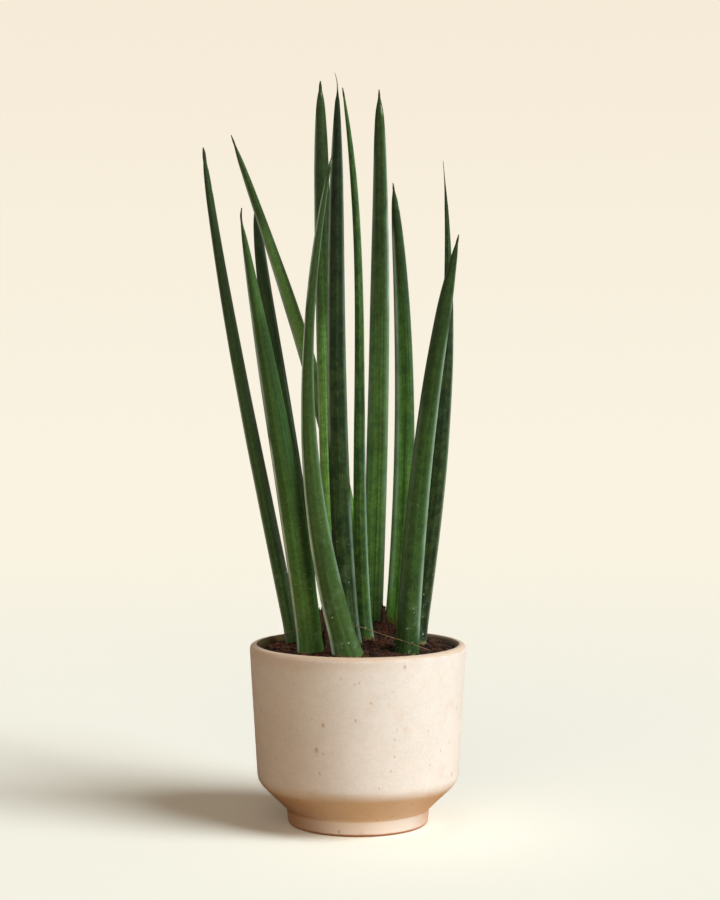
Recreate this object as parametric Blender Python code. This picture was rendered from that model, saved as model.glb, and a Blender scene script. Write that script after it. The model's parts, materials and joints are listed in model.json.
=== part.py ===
"""Cylindrical snake plant in a stoneware pot, built as separate closed solids.

Metres, +Z up. The origin is on the pot's axis, on the flat underside that the pot stands on.
+X is to the viewer's right, and the front of the plant faces -Y.
"""

import math
from dataclasses import dataclass

import bmesh
import bpy
from mathutils import noise

MM = 0.001

# Where two solids meet, this much air stays between them.
CLEARANCE = 0.3 * MM

# Faces that meet at less than this angle are shaded as one round surface.
SMOOTH_ANGLE = math.radians(40)

# Pot, a turned bowl with a leaning wall, a broad chamfer and a narrow foot
POT_HEIGHT = 115 * MM
RIM_RADIUS = 70 * MM
WALL = 6.5 * MM
LIP_ROUND = 3 * MM
SHOULDER_RADIUS = 64.7 * MM
SHOULDER_HEIGHT = 27.7 * MM
SHOULDER_ROUND = 12 * MM
FOOT_TOP_RADIUS = 46 * MM
FOOT_BOTTOM_RADIUS = 45 * MM
FOOT_HEIGHT = 9.6 * MM
FOOT_FILLET = 2.5 * MM
FOOT_ROUND = 2 * MM
FLOOR_THICKNESS = 12 * MM
FLOOR_RADIUS = 39 * MM
INNER_SHOULDER_ROUND = 8 * MM
TURNED_SIDES = 48

# Soil, a plug that fills the pot and heaps up towards the back
SOIL_EDGE_HEIGHT = 109.5 * MM
SOIL_RINGS = 7
SOIL_CRUMB = 1.2 * MM
SOIL_CRUMB_SPACING = 9 * MM
SOIL_CRUMB_FADE = 4
SOIL_SIDE_HEIGHT = 70 * MM
HOLE_REACH = 8 * MM
HEAPS = (
    # x, y, height, spread
    (5 * MM, 5 * MM, 8 * MM, 32 * MM),
    (18 * MM, 30 * MM, 10 * MM, 13 * MM),
)

# Leaves, which all start at the same depth in the soil
LEAF_FOOT_HEIGHT = 80 * MM
LEAF_SIDES = 20
LEAF_RINGS = 17
TIP_CROWDING = 1.5
LEAF_FOOT_ROUND = 6 * MM
LEAF_FOOT_SHAPE = ((0.0, 0.55), (0.5, 0.88))
GIRTH_STATIONS = (0.0, 0.35, 0.65, 0.85, 0.96, 1.0)
SPINE_BASE = 1.3 * MM
SPINE_TIP = 0.7 * MM

# Section of a leaf, as parts of its half breadth
GROOVE_HALF_ANGLE = math.radians(54)
GROOVE_DEPTH = 0.26
MARGIN_HEIGHT = 0.06
MARGIN_ANGLE = math.radians(14)
RIB_COUNT = 10
RIB_HEIGHT = 0.018
RIB_FADE = 4

# Colours as red, green and blue from 0 to 255, as the eye sees them
STONEWARE = (222, 205, 183)
STONEWARE_ROUGHNESS = 0.62
PEAT = (48, 33, 24)
PEAT_ROUGHNESS = 0.95
LEAF_ROUGHNESS = 0.45
DEEP_GREEN = (44, 60, 34)
MIDDLE_GREEN = (56, 78, 38)
BRIGHT_GREEN = (68, 92, 44)


@dataclass
class Leaf:
    """One leaf, with its sizes in millimetres.

    The centre line goes through the foot, a point at a third of the height, a point at two
    thirds and the tip. The girths are the leaf's breadths from the soil upwards, each at its
    part of the height in GIRTH_STATIONS. The groove faces the angle given, in degrees from +X
    towards +Y.
    """

    name: str
    foot: tuple
    lower: tuple
    upper: tuple
    tip: tuple
    girths: tuple
    spine: float
    groove: float
    flatness: float
    colour: tuple
    curl: tuple = (0, 0)


LEAVES = (
    Leaf("leaf_01", (-35, 20), (-60, 26), (-84, 34), (-103.5, 44, 440),
         (10.9, 10.5, 8.8, 6.5, 4.4), 5, -30, 0.92, DEEP_GREEN),
    Leaf("leaf_02", (-27, -20), (-39, -28), (-56, -36), (-74, -44, 392),
         (16.3, 16.2, 12.9, 7.7, 3.7), 9, 75, 0.84, MIDDLE_GREEN, curl=(1.6, -0.6)),
    Leaf("leaf_03", (5, -37), (-25, -38), (-31, -33), (-16.5, -25, 426),
         (20.0, 13.3, 7.0, 4.9, 2.7), 4, 90, 0.78, BRIGHT_GREEN),
    Leaf("leaf_04", (-31, 6), (-37, 12), (-54, 20), (-68, 28, 405),
         (11.0, 11.1, 10.8, 8.5, 5.3), 6, -60, 0.9, DEEP_GREEN),
    Leaf("leaf_05", (5, 20), (-8, 21), (-40.5, 17), (-82.5, 10, 444),
         (11.7, 12.0, 10.2, 6.8, 4.2), 6, -110, 0.88, BRIGHT_GREEN),
    Leaf("leaf_06", (-1, -16), (-11.5, -12), (-14, -12), (-13, -14, 481),
         (14.1, 13.3, 11.5, 8.6, 4.2), 10, 90, 0.86, DEEP_GREEN, curl=(-1.8, 0.5)),
    Leaf("leaf_07", (8.5, -2), (1, -2), (0.5, 0), (-10, 4, 474),
         (11.3, 8.2, 5.8, 4.6, 2.6), 6, 50, 0.92, MIDDLE_GREEN),
    Leaf("leaf_08", (-11, 4), (-17.5, 3), (-22, 4), (-24.5, 8, 479),
         (13.0, 12.8, 11.2, 9.7, 6.3), 3, -70, 0.9, BRIGHT_GREEN),
    Leaf("leaf_09", (8, 40), (12, 35), (14.5, 36), (14, 40, 478),
         (13.4, 14.1, 12.8, 9.5, 6.4), 4, -95, 0.9, BRIGHT_GREEN),
    Leaf("leaf_10", (19.5, 26), (29.5, 34), (30.5, 43), (23.5, 52, 417),
         (13.2, 14.3, 12.5, 9.4, 5.5), 4, -130, 0.9, MIDDLE_GREEN),
    Leaf("leaf_11", (29.5, -26), (35, -32), (45.5, -40), (62.5, -50, 375),
         (15.8, 14.6, 12.6, 10.0, 4.8), 4, 42, 0.9, MIDDLE_GREEN),
    Leaf("leaf_12", (33, 4), (48.5, 8), (58, 15), (56, 25, 429),
         (13.1, 13.4, 10.4, 5.2, 2.4), 12, 170, 0.9, DEEP_GREEN),
)


# Small helpers

def clear_scene():
    """Remove every object, so that the script can be run again."""
    for obj in list(bpy.data.objects):
        bpy.data.objects.remove(obj, do_unlink=True)


def seen_colour(rgb):
    """Turn a colour as the eye sees it into the linear one that the shader works in."""
    linear = []
    for channel in rgb:
        value = channel / 255
        linear.append(value / 12.92 if value <= 0.04045 else ((value + 0.055) / 1.055) ** 2.4)
    return (*linear, 1.0)


def plain_material(name, rgb, roughness):
    """Make a material of one colour that isn't metal."""
    material = bpy.data.materials.new(name)
    material.use_nodes = True
    shader = material.node_tree.nodes["Principled BSDF"]
    shader.inputs["Base Color"].default_value = seen_colour(rgb)
    shader.inputs["Roughness"].default_value = roughness
    shader.inputs["Metallic"].default_value = 0.0
    return material


def object_from(name, vertices, faces, material):
    """Make an object from points and faces, with its faces pointing out."""
    mesh = bpy.data.meshes.new(name)
    mesh.from_pydata(vertices, [], faces)
    shape = bmesh.new()
    shape.from_mesh(mesh)
    bmesh.ops.recalc_face_normals(shape, faces=shape.faces)
    bmesh.ops.triangulate(shape, faces=shape.faces)
    shape.to_mesh(mesh)
    shape.free()
    mesh.materials.append(material)
    mesh.shade_smooth()
    mesh.set_sharp_from_angle(angle=SMOOTH_ANGLE)
    obj = bpy.data.objects.new(name, mesh)
    bpy.context.collection.objects.link(obj)
    return obj


def skin_of_rings(rings):
    """Faces that join rings of equally many points, with both ends closed.

    An end ring of one point is a pole.
    """
    vertices = [point for ring in rings for point in ring]
    starts = []
    total = 0
    for ring in rings:
        starts.append(total)
        total += len(ring)
    faces = []
    for low, high, start_low, start_high in zip(rings, rings[1:], starts, starts[1:]):
        count = max(len(low), len(high))
        for i in range(count):
            j = (i + 1) % count
            if len(low) == 1:
                faces.append((start_low, start_high + j, start_high + i))
            elif len(high) == 1:
                faces.append((start_low + i, start_low + j, start_high))
            else:
                faces.append((start_low + i, start_low + j, start_high + j, start_high + i))
    for ring, start in ((rings[0], starts[0]), (rings[-1], starts[-1])):
        if len(ring) > 1:
            faces.append(tuple(range(start, start + len(ring))))
    return vertices, faces


def smooth_curve(stations, values, at):
    """A curve through the values that never swings past them."""
    gaps = [b - a for a, b in zip(stations, stations[1:])]
    slopes = [(b - a) / gap for a, b, gap in zip(values, values[1:], gaps)]
    tangents = [slopes[0]]
    for before, after in zip(slopes, slopes[1:]):
        same_way = before * after > 0
        tangents.append(2 * before * after / (before + after) if same_way else 0.0)
    tangents.append(slopes[-1])
    at = min(max(at, stations[0]), stations[-1])
    k = max(i for i in range(len(gaps)) if stations[i] <= at)
    t = (at - stations[k]) / gaps[k]
    return (values[k] * (1 + 2 * t) * (1 - t) ** 2
            + tangents[k] * gaps[k] * t * (1 - t) ** 2
            + values[k + 1] * t * t * (3 - 2 * t)
            + tangents[k + 1] * gaps[k] * t * t * (t - 1))


# Pot

def heading(start, end):
    """Angle of the line from one point of an outline to another."""
    return math.atan2(end[1] - start[1], end[0] - start[0])


def wrapped(angle):
    """The same angle, between minus and plus half a turn."""
    return (angle + math.pi) % (2 * math.pi) - math.pi


def rounded_outline(corners):
    """Points of an outline whose corners are rounded.

    Each corner is its radius from the axis, its height, the round's radius and the number of
    straight steps that the round is drawn with.
    """
    points = []
    for k, (x, z, radius, steps) in enumerate(corners):
        if not radius:
            points.append((x, z))
            continue
        back = heading((x, z), corners[k - 1])
        ahead = heading((x, z), corners[k + 1])
        half = wrapped(ahead - back) / 2
        reach = radius / abs(math.sin(half))
        centre_x = x + reach * math.cos(back + half)
        centre_z = z + reach * math.sin(back + half)
        side = math.copysign(math.pi / 2, math.sin(2 * half))
        start = back - side
        turn = wrapped(ahead + side - start)
        for i in range(steps + 1):
            angle = start + turn * i / steps
            points.append((centre_x + radius * math.cos(angle),
                           centre_z + radius * math.sin(angle)))
    return points


def wall_lean():
    """How far the pot's wall leans out for each metre of its height."""
    return (RIM_RADIUS - SHOULDER_RADIUS) / (POT_HEIGHT - SHOULDER_HEIGHT)


def inner_radius(height):
    """Radius of the pot's leaning inner wall at a height."""
    return RIM_RADIUS - WALL - (POT_HEIGHT - height) * wall_lean()


def inner_outline():
    """The pot's inside, from the rim down to the middle of its floor."""
    shoulder = SHOULDER_HEIGHT + WALL / 2
    return rounded_outline((
        (RIM_RADIUS, POT_HEIGHT, 0, 0),
        (RIM_RADIUS - WALL, POT_HEIGHT, LIP_ROUND, 3),
        (inner_radius(shoulder), shoulder, INNER_SHOULDER_ROUND, 3),
        (FLOOR_RADIUS, FLOOR_THICKNESS, 0, 0),
        (0.0, FLOOR_THICKNESS, 0, 0),
    ))[1:]


def outer_outline():
    """The pot's outside, from the middle of its underside up to the rim."""
    return rounded_outline((
        (0.0, 0.0, 0, 0),
        (FOOT_BOTTOM_RADIUS, 0.0, FOOT_ROUND, 2),
        (FOOT_TOP_RADIUS, FOOT_HEIGHT, FOOT_FILLET, 2),
        (SHOULDER_RADIUS, SHOULDER_HEIGHT, SHOULDER_ROUND, 4),
        (RIM_RADIUS, POT_HEIGHT, LIP_ROUND, 3),
        (RIM_RADIUS - WALL, POT_HEIGHT, 0, 0),
    ))[:-1]


def turned(profile):
    """Rings of a profile turned about the Z axis, with a pole where it meets the axis."""
    rings = []
    for radius, height in profile:
        if radius == 0:
            rings.append([(0.0, 0.0, height)])
            continue
        ring = []
        for i in range(TURNED_SIDES):
            angle = 2 * math.pi * i / TURNED_SIDES
            ring.append((radius * math.cos(angle), radius * math.sin(angle), height))
        rings.append(ring)
    return rings


def make_pot():
    """The pot, one turned solid with a flat underside."""
    vertices, faces = skin_of_rings(turned(outer_outline() + inner_outline()))
    stoneware = plain_material("stoneware", STONEWARE, STONEWARE_ROUGHNESS)
    return object_from("pot", vertices, faces, stoneware)


# Leaves

def section_radius(angle, ribbing):
    """Radius of a leaf's section, as a part of its half breadth, at an angle from the groove."""
    side = abs(wrapped(angle))
    from_margin = (side - GROOVE_HALF_ANGLE) / MARGIN_ANGLE
    radius = 1 + ribbing * MARGIN_HEIGHT * math.exp(-from_margin ** 2)
    if side < GROOVE_HALF_ANGLE:
        hollow = math.cos(math.pi / 2 * side / GROOVE_HALF_ANGLE)
        return radius - ribbing * GROOVE_DEPTH * hollow
    return radius + ribbing * RIB_HEIGHT * math.cos(RIB_COUNT * side)


def centre_line(leaf, part):
    """The leaf's centre at a part of its height, on the smooth curve through its four points."""
    t = part * 3
    weights = (
        -(t - 1) * (t - 2) * (t - 3) / 6,
        t * (t - 2) * (t - 3) / 2,
        -t * (t - 1) * (t - 3) / 2,
        t * (t - 1) * (t - 2) / 6,
    )
    points = (leaf.foot, leaf.lower, leaf.upper, leaf.tip)
    x = sum(weight * point[0] for weight, point in zip(weights, points))
    y = sum(weight * point[1] for weight, point in zip(weights, points))
    return x * MM, y * MM


def leaf_ring(leaf, height, shrink=1.0, clearance=0.0):
    """One level ring of a leaf's skin."""
    length = leaf.tip[2] * MM - LEAF_FOOT_HEIGHT
    part = (height - LEAF_FOOT_HEIGHT) / length
    green_part = 1 - leaf.spine * MM / length
    x, y = centre_line(leaf, part)
    if part <= green_part:
        girths = [girth * MM for girth in leaf.girths] + [SPINE_BASE]
        breadth = smooth_curve(GIRTH_STATIONS, girths, part / green_part)
    else:
        along_spine = (part - green_part) / (1 - green_part)
        breadth = SPINE_BASE + (SPINE_TIP - SPINE_BASE) * along_spine
        x += leaf.curl[0] * MM * along_spine ** 2
        y += leaf.curl[1] * MM * along_spine ** 2
    ribbing = 1 - part ** RIB_FADE
    groove = math.radians(leaf.groove)
    ring = []
    for i in range(LEAF_SIDES):
        angle = 2 * math.pi * i / LEAF_SIDES
        radius = breadth / 2 * shrink * section_radius(angle, ribbing) + clearance
        deep = radius * math.cos(angle) * leaf.flatness
        wide = radius * math.sin(angle)
        ring.append((x + deep * math.cos(groove) - wide * math.sin(groove),
                     y + deep * math.sin(groove) + wide * math.cos(groove),
                     height))
    return ring


def leaf_heights(leaf):
    """Heights of a leaf's rings above the rounded foot, closer together towards the tip."""
    first = LEAF_FOOT_HEIGHT + LEAF_FOOT_ROUND
    tip = leaf.tip[2] * MM
    spine_start = tip - leaf.spine * MM
    steps = LEAF_RINGS - len(LEAF_FOOT_SHAPE) - 3
    heights = []
    for i in range(steps + 1):
        left = (1 - i / steps) ** TIP_CROWDING
        heights.append(spine_start - (spine_start - first) * left)
    return heights + [(spine_start + tip) / 2, tip]


def leaf_rings(leaf, top=math.inf, clearance=0.0):
    """A leaf's rings up to the first one above a height, grown and sunk by a clearance."""
    levels = [(LEAF_FOOT_HEIGHT + LEAF_FOOT_ROUND * rise, shrink)
              for rise, shrink in LEAF_FOOT_SHAPE]
    levels += [(height, 1.0) for height in leaf_heights(leaf)]
    rings = []
    for height, shrink in levels:
        ring = leaf_ring(leaf, height, shrink, clearance)
        rings.append([(x, y, z - clearance) for x, y, z in ring])
        if height > top:
            break
    return rings


def make_leaf(leaf):
    """One leaf, from its rounded foot in the soil to the dry spine at its tip."""
    vertices, faces = skin_of_rings(leaf_rings(leaf))
    green = plain_material(leaf.name + "_green", leaf.colour, LEAF_ROUGHNESS)
    return object_from(leaf.name, vertices, faces, green)


# Soil

def soil_height(x, y):
    """Height of the soil's surface, without its crumbs."""
    height = SOIL_EDGE_HEIGHT
    for heap_x, heap_y, rise, spread in HEAPS:
        away = math.hypot(x - heap_x, y - heap_y)
        height += rise * math.exp(-away ** 2 / (2 * spread ** 2))
    return height


def crumbled(x, y, edge_part):
    """Unevenness of the soil's surface, which fades out at the pot's wall."""
    bump = noise.noise((x / SOIL_CRUMB_SPACING, y / SOIL_CRUMB_SPACING, 0.0))
    return SOIL_CRUMB * bump * (1 - edge_part ** SOIL_CRUMB_FADE)


def soil_rings():
    """Rings of the soil's plug, from the middle of its surface down to its underside."""
    edge = inner_radius(SOIL_EDGE_HEIGHT) - CLEARANCE
    rings = [[(0.0, 0.0, soil_height(0.0, 0.0))]]
    for k in range(1, SOIL_RINGS + 1):
        part = k / SOIL_RINGS
        ring = []
        for x, y, _ in turned([(edge * part, 0.0)])[0]:
            ring.append((x, y, soil_height(x, y) + crumbled(x, y, part)))
        rings.append(ring)
    side = [(edge - (SOIL_EDGE_HEIGHT - SOIL_SIDE_HEIGHT) * wall_lean(), SOIL_SIDE_HEIGHT)]
    for radius, height in inner_outline():
        if height < SOIL_SIDE_HEIGHT:
            lift = CLEARANCE if height == FLOOR_THICKNESS else 0.0
            side.append((max(radius - CLEARANCE, 0.0), height + lift))
    return rings + turned(side)


def make_soil():
    """The soil, with a plain hole for each leaf's foot."""
    vertices, faces = skin_of_rings(soil_rings())
    peat = plain_material("peat", PEAT, PEAT_ROUGHNESS)
    soil = object_from("soil", vertices, faces, peat)
    cutters = bpy.data.collections.new("soil_holes")
    bpy.context.scene.collection.children.link(cutters)
    for leaf in LEAVES:
        top = soil_height(leaf.foot[0] * MM, leaf.foot[1] * MM) + HOLE_REACH
        rings = leaf_rings(leaf, top, CLEARANCE)
        vertices, faces = skin_of_rings(rings)
        cutter = object_from(leaf.name + "_hole", vertices, faces, peat)
        bpy.context.collection.objects.unlink(cutter)
        cutters.objects.link(cutter)
    cut = soil.modifiers.new("holes", "BOOLEAN")
    cut.operation = "DIFFERENCE"
    cut.operand_type = "COLLECTION"
    cut.solver = "EXACT"
    cut.collection = cutters
    bpy.context.view_layer.objects.active = soil
    bpy.ops.object.modifier_apply(modifier=cut.name)
    for cutter in list(cutters.objects):
        bpy.data.objects.remove(cutter, do_unlink=True)
    bpy.data.collections.remove(cutters)
    return soil


def main():
    """Build the pot, the soil and the leaves under one empty."""
    clear_scene()
    plant = bpy.data.objects.new("snake_plant", None)
    bpy.context.collection.objects.link(plant)
    pieces = [make_pot(), make_soil()]
    pieces += [make_leaf(leaf) for leaf in LEAVES]
    for piece in pieces:
        piece.parent = plant


main()
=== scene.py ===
"""Looks of a cylindrical snake plant in a stoneware pot, built round its fixed frame."""

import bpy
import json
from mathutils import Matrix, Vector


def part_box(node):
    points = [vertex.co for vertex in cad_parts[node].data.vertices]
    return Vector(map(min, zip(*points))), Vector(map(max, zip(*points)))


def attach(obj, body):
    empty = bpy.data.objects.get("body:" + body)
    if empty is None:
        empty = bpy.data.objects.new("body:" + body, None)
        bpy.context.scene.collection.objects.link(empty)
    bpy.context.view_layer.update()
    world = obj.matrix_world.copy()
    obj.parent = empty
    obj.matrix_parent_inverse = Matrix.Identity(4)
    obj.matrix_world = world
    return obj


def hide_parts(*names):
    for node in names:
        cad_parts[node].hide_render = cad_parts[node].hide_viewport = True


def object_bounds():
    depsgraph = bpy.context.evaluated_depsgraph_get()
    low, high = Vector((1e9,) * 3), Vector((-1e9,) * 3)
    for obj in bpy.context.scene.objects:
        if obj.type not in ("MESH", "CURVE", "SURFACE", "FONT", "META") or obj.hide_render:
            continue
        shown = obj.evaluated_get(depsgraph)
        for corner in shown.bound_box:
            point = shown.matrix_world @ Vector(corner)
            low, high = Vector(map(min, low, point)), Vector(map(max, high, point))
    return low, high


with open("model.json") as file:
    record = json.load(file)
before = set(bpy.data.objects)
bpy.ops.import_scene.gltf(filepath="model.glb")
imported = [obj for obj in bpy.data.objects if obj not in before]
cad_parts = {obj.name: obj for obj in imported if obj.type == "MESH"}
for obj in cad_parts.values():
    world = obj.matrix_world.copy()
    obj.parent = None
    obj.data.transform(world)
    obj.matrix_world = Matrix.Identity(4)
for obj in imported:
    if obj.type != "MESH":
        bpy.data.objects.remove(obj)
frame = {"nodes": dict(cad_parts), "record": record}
frame_box = [list(corner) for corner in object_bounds()]

import json
import math
import random

import bmesh
import bpy
import numpy as np
from mathutils import Vector, noise

bl_info = {
    "name": "Potted cylindrical snake plant",
    "version": (1, 0, 0),
    "blender": (4, 5, 0),
    "location": "View3D > Sidebar > Snake Plant",
    "description": "Dresses the frame of a potted snake plant with its skins, soil and pot",
    "category": "Object",
}

MM = 0.001
BODY = "root"


def seen(red, green, blue):
    """A colour given from 0 to 255 as the eye sees it, as the linear one that shaders use."""
    linear = []
    for channel in (red, green, blue):
        value = channel / 255
        linear.append(value / 12.92 if value <= 0.04045 else ((value + 0.055) / 1.055) ** 2.4)
    return tuple(linear)


# Pot, measured from its box in the frame where that gives the size
POT_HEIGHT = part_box("pot")[1].z
RIM_RADIUS = 70 * MM
WALL = 6.5 * MM
INNER_RIM_RADIUS = RIM_RADIUS - WALL
LIP_ROUND = 3 * MM
SHOULDER_RADIUS = 64.7 * MM
SHOULDER_HEIGHT = 27.7 * MM
SHOULDER_ROUND = 12 * MM
FOOT_TOP_RADIUS = 46 * MM
FOOT_BOTTOM_RADIUS = 45 * MM
FOOT_HEIGHT = 9.6 * MM
FOOT_FILLET = 2.5 * MM
FOOT_ROUND = 2 * MM
FLOOR_THICKNESS = 12 * MM
FLOOR_RADIUS = 39 * MM
INNER_SHOULDER_ROUND = 8 * MM
POT_CORNER_STEPS = 9
POT_SIDES = 288
POT_STEP = 1.6 * MM
HAND_UNEVENNESS = 0.12 * MM
HAND_UNEVENNESS_SPACING = 28 * MM

# Finish of the pot. Places across it are parts of the rim's radius
# Painted shade in clay colour under the lip: the depths below the top between which it grows
UNDER_LIP_SHADE_DEPTHS = (12 * MM, 4 * MM)
# The lip's clay tint is partly glaze worn thin and partly painted shade
LIP_WEAR_AND_SHADE_START = 1.2 * MM
# Painted light, a paler glaze colour just above the foot, between the two sides
PAINTED_LIGHT_ABOVE_FOOT = (0.4 * MM, 3 * MM)
PAINTED_LIGHT_ENDS = ((-0.5, -0.1), (0.55, 0.1))
# Painted shade and warm reflected light in clay colour, low at both sides of the pot
SIDE_SHADE_TOP = (21 * MM, 27 * MM)
SIDE_SHADE_ENDS = ((-0.62, -0.15, 1.0, 0.0), (0.42, 0.76, 0.0, 1.0))
SPECK_WARP = 6 * MM
TURNING_MARKS = (6.0, 6.0, 420.0)
# Spacing beside the usual one, size, share of the places that have one, softness
SMALL_SPECKS = (1.0, 0.15, 0.85, 0.85)
LARGE_SPECKS = (1.6, 0.17, 0.9, 0.9)
SMUDGES = (1.9, 0.24, 0.7, 0.95)
GLAZE_DUST = (0.22, 0.16, 0.35, 0.8)

# Soil, with the same heaps as its solid in the frame
SOIL_EDGE_HEIGHT = 109.5 * MM
SOIL_GAP = 0.3 * MM
SOIL_HEAPS = (
    # x, y, height, spread
    (5 * MM, 5 * MM, 8 * MM, 32 * MM),
    (18 * MM, 30 * MM, 10 * MM, 13 * MM),
)
SOIL_LUMPS = (
    # spacing, height
    (9 * MM, 1.1 * MM),
    (4 * MM, 0.9 * MM),
    (1.7 * MM, 0.5 * MM),
    (0.8 * MM, 0.22 * MM),
)
SOIL_COLLAR = 0.5 * MM
SOIL_COLLAR_SPREAD = 2.5 * MM
SOIL_SIDES = 260
SOIL_RINGS = 84
SOIL_SIDE_STEP = 9 * MM
SOIL_CORNER_STEPS = 6

# Seeds of the random places and shapes
CRUMB_SEED = 11
FIBRE_SEED = 23
HUSK_SEED = 31
ROOT_HAIR_SEED = 47
SHEATH_SEED = 59

# Leaves
RING_POINTS = 20
SKIN_SIDES = 100
SKIN_LEVELS = 210
FINE_RIBS = 30
FINE_RIB_HEIGHT = 0.015 * MM
SKIN_WAVE = 0.10 * MM
SKIN_WAVE_SPACING = 16 * MM
# The ribs and waves die out over one part in so many of the height, below the tip
RIBS_END = 6
SPINE_GIRTH = 1.3 * MM
LEAF_NAMES = sorted(name for name in frame["nodes"] if name.startswith("leaf_"))
LEAF_SLOTS = {
    part["node"]: part["material_slot"]
    for part in frame["record"]["subparts"]
    if part["node"] in LEAF_NAMES
}
# How light each leaf is beside the others of its green, low down and at its top: partly its own
# green, partly painted light on the leaves that others shade
LEAF_TONES = {
    "leaf_01": (1.8, 1.8),
    "leaf_02": (2.05, 1.25),
    "leaf_03": (0.97, 1.1),
    "leaf_04": (2.25, 1.38),
    "leaf_05": (3.1, 1.5),
    "leaf_06": (1.65, 0.95),
    "leaf_07": (1.75, 3.1),
    "leaf_08": (4.1, 0.95),
    "leaf_09": (2.15, 1.05),
    "leaf_10": (3.4, 1.15),
    "leaf_11": (1.2, 1.1),
    "leaf_12": (0.95, 1.5),
}
# Marks along the leaves. Each is a heading in degrees (0 to the right, -90 to the front) with
# its half width, how strong it is, and the heights in millimetres between which it runs

# Pale ridges, partly the skin's own pale margins and partly painted highlights at the leaves'
# edges
PALE_RIDGES_AND_HIGHLIGHTS = {
    "leaf_01": ((206, 16, 0.35, 100, 300), (200, 16, 0.25, 300, 400)),
    "leaf_02": ((196, 11, 1.0, 100, 250), (200, 14, 0.5, 250, 370)),
    "leaf_03": ((197, 12, 1.0, 100, 330), (200, 20, 0.6, 330, 415), (-15, 13, 0.18, 150, 420)),
    "leaf_04": ((-18, 14, 0.12, 150, 400),),
    "leaf_05": ((198, 20, 0.5, 290, 430),),
    "leaf_06": ((203, 13, 0.45, 240, 450), (-20, 13, 0.28, 105, 215), (-20, 11, 0.18, 215, 450)),
    "leaf_07": ((-20, 16, 0.36, 105, 265), (-16, 14, 0.18, 265, 440)),
    "leaf_08": ((203, 16, 0.35, 250, 460), (-24, 14, 0.36, 105, 300)),
    "leaf_09": ((-26, 17, 0.3, 105, 400), (-22, 14, 0.32, 330, 455), (202, 16, 0.25, 150, 440)),
    "leaf_10": ((207, 17, 0.55, 140, 390), (-18, 14, 0.25, 200, 400)),
    "leaf_11": ((-24, 15, 0.34, 118, 320), (-22, 14, 0.22, 320, 362), (208, 18, 0.12, 130, 280)),
    "leaf_12": ((-18, 14, 0.25, 120, 330),),
}
# Strips of painted light, a lighter and greener green
PAINTED_LIGHT_STRIPS = {
    "leaf_01": ((-150, 40, 0.2, 100, 330), (-60, 60, 0.5, 100, 165)),
    "leaf_02": ((-120, 60, 0.2, 130, 200), (-60, 70, 0.3, 315, 400)),
    "leaf_05": ((-110, 60, 1.0, 230, 390),),
    "leaf_07": ((-150, 40, 0.6, 105, 300),),
    "leaf_08": ((-80, 70, 1.0, 110, 330),),
    "leaf_09": ((-110, 70, 0.35, 110, 240), (-110, 70, 0.2, 240, 330)),
    "leaf_10": ((-125, 50, 0.7, 110, 350),),
    "leaf_11": ((-80, 60, 0.25, 160, 270),),
    "leaf_12": ((-120, 30, 0.2, 150, 300), (-60, 90, 0.6, 350, 400)),
}
# Strips of painted shade, a darker green
SHADE_STRIPS = {
    "leaf_01": ((-30, 40, 0.5, 165, 400),),
    "leaf_02": ((-50, 44, 1.0, 150, 330),),
    "leaf_03": ((-60, 30, 0.15, 250, 400),),
    "leaf_04": ((-30, 50, 0.5, 285, 420), (-30, 50, 0.15, 190, 285)),
    "leaf_05": ((-20, 25, 0.5, 260, 430),),
    "leaf_07": ((-50, 45, 0.45, 200, 450),),
    "leaf_10": ((-45, 42, 0.6, 120, 380),),
    "leaf_11": ((-130, 40, 0.45, 105, 170), (-60, 60, 0.35, 105, 140)),
}
# Pale scars
SCARS = {
    "leaf_01": ((-12, 16, 0.6, 424, 430), (-10, 12, 0.5, 408, 414)),
    "leaf_03": ((-90, 60, 0.3, 419, 428),),
    "leaf_08": ((-60, 14, 0.3, 468, 472),),
    "leaf_09": ((-50, 12, 0.5, 460, 469),),
    "leaf_10": ((-30, 12, 0.5, 398, 404),),
    "leaf_11": ((-78, 4, 0.45, 110.5, 115),),
    "leaf_12": ((-70, 50, 0.6, 112, 114.5),),
}
# The longest way, in millimetres, over which a mark fades at its ends
MARK_FADE = 12.0
# How long the dried end of each tip is, and how high the stain runs up each foot
DRY_ENDS = {
    "leaf_01": 11 * MM,
    "leaf_02": 12 * MM,
    "leaf_03": 3 * MM,
    "leaf_05": 13 * MM,
    "leaf_07": 9 * MM,
    "leaf_08": 5 * MM,
    "leaf_09": 6 * MM,
}
USUAL_DRY_END = 8 * MM
FOOT_STAINS = {
    "leaf_01": 3 * MM,
    "leaf_04": 4 * MM,
    "leaf_06": 5 * MM,
    "leaf_07": 7 * MM,
    "leaf_08": 6 * MM,
    "leaf_09": 8 * MM,
    "leaf_10": 13 * MM,
    "leaf_12": 3 * MM,
}
USUAL_FOOT_STAIN = 1.5 * MM
# What the painted shade, the painted light and the yellowish places make of the red, green and
# blue
SHADING = (0.55, 0.58, 0.66)
PAINTED_LIGHT_TINT = (2.1, 2.2, 2.35)
YELLOWING = (1.22, 1.1, 0.85)
# How strongly each leaf shows its yellowish patches, where it isn't the usual amount
YELLOW_AMOUNTS = {
    "leaf_02": 0.9,
    "leaf_05": 0.0,
    "leaf_07": 1.0,
    "leaf_10": 1.0,
    "leaf_12": 0.9,
}
USUAL_YELLOW = 0.5
# Leaves whose tips end in a pale hair, and how thin it is beside the solid's tip
PALE_SPINES = ("leaf_06", "leaf_12")
SPINE_THINNING = 0.5
PALE_HAIR_GIRTH = 0.55 * MM
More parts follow.
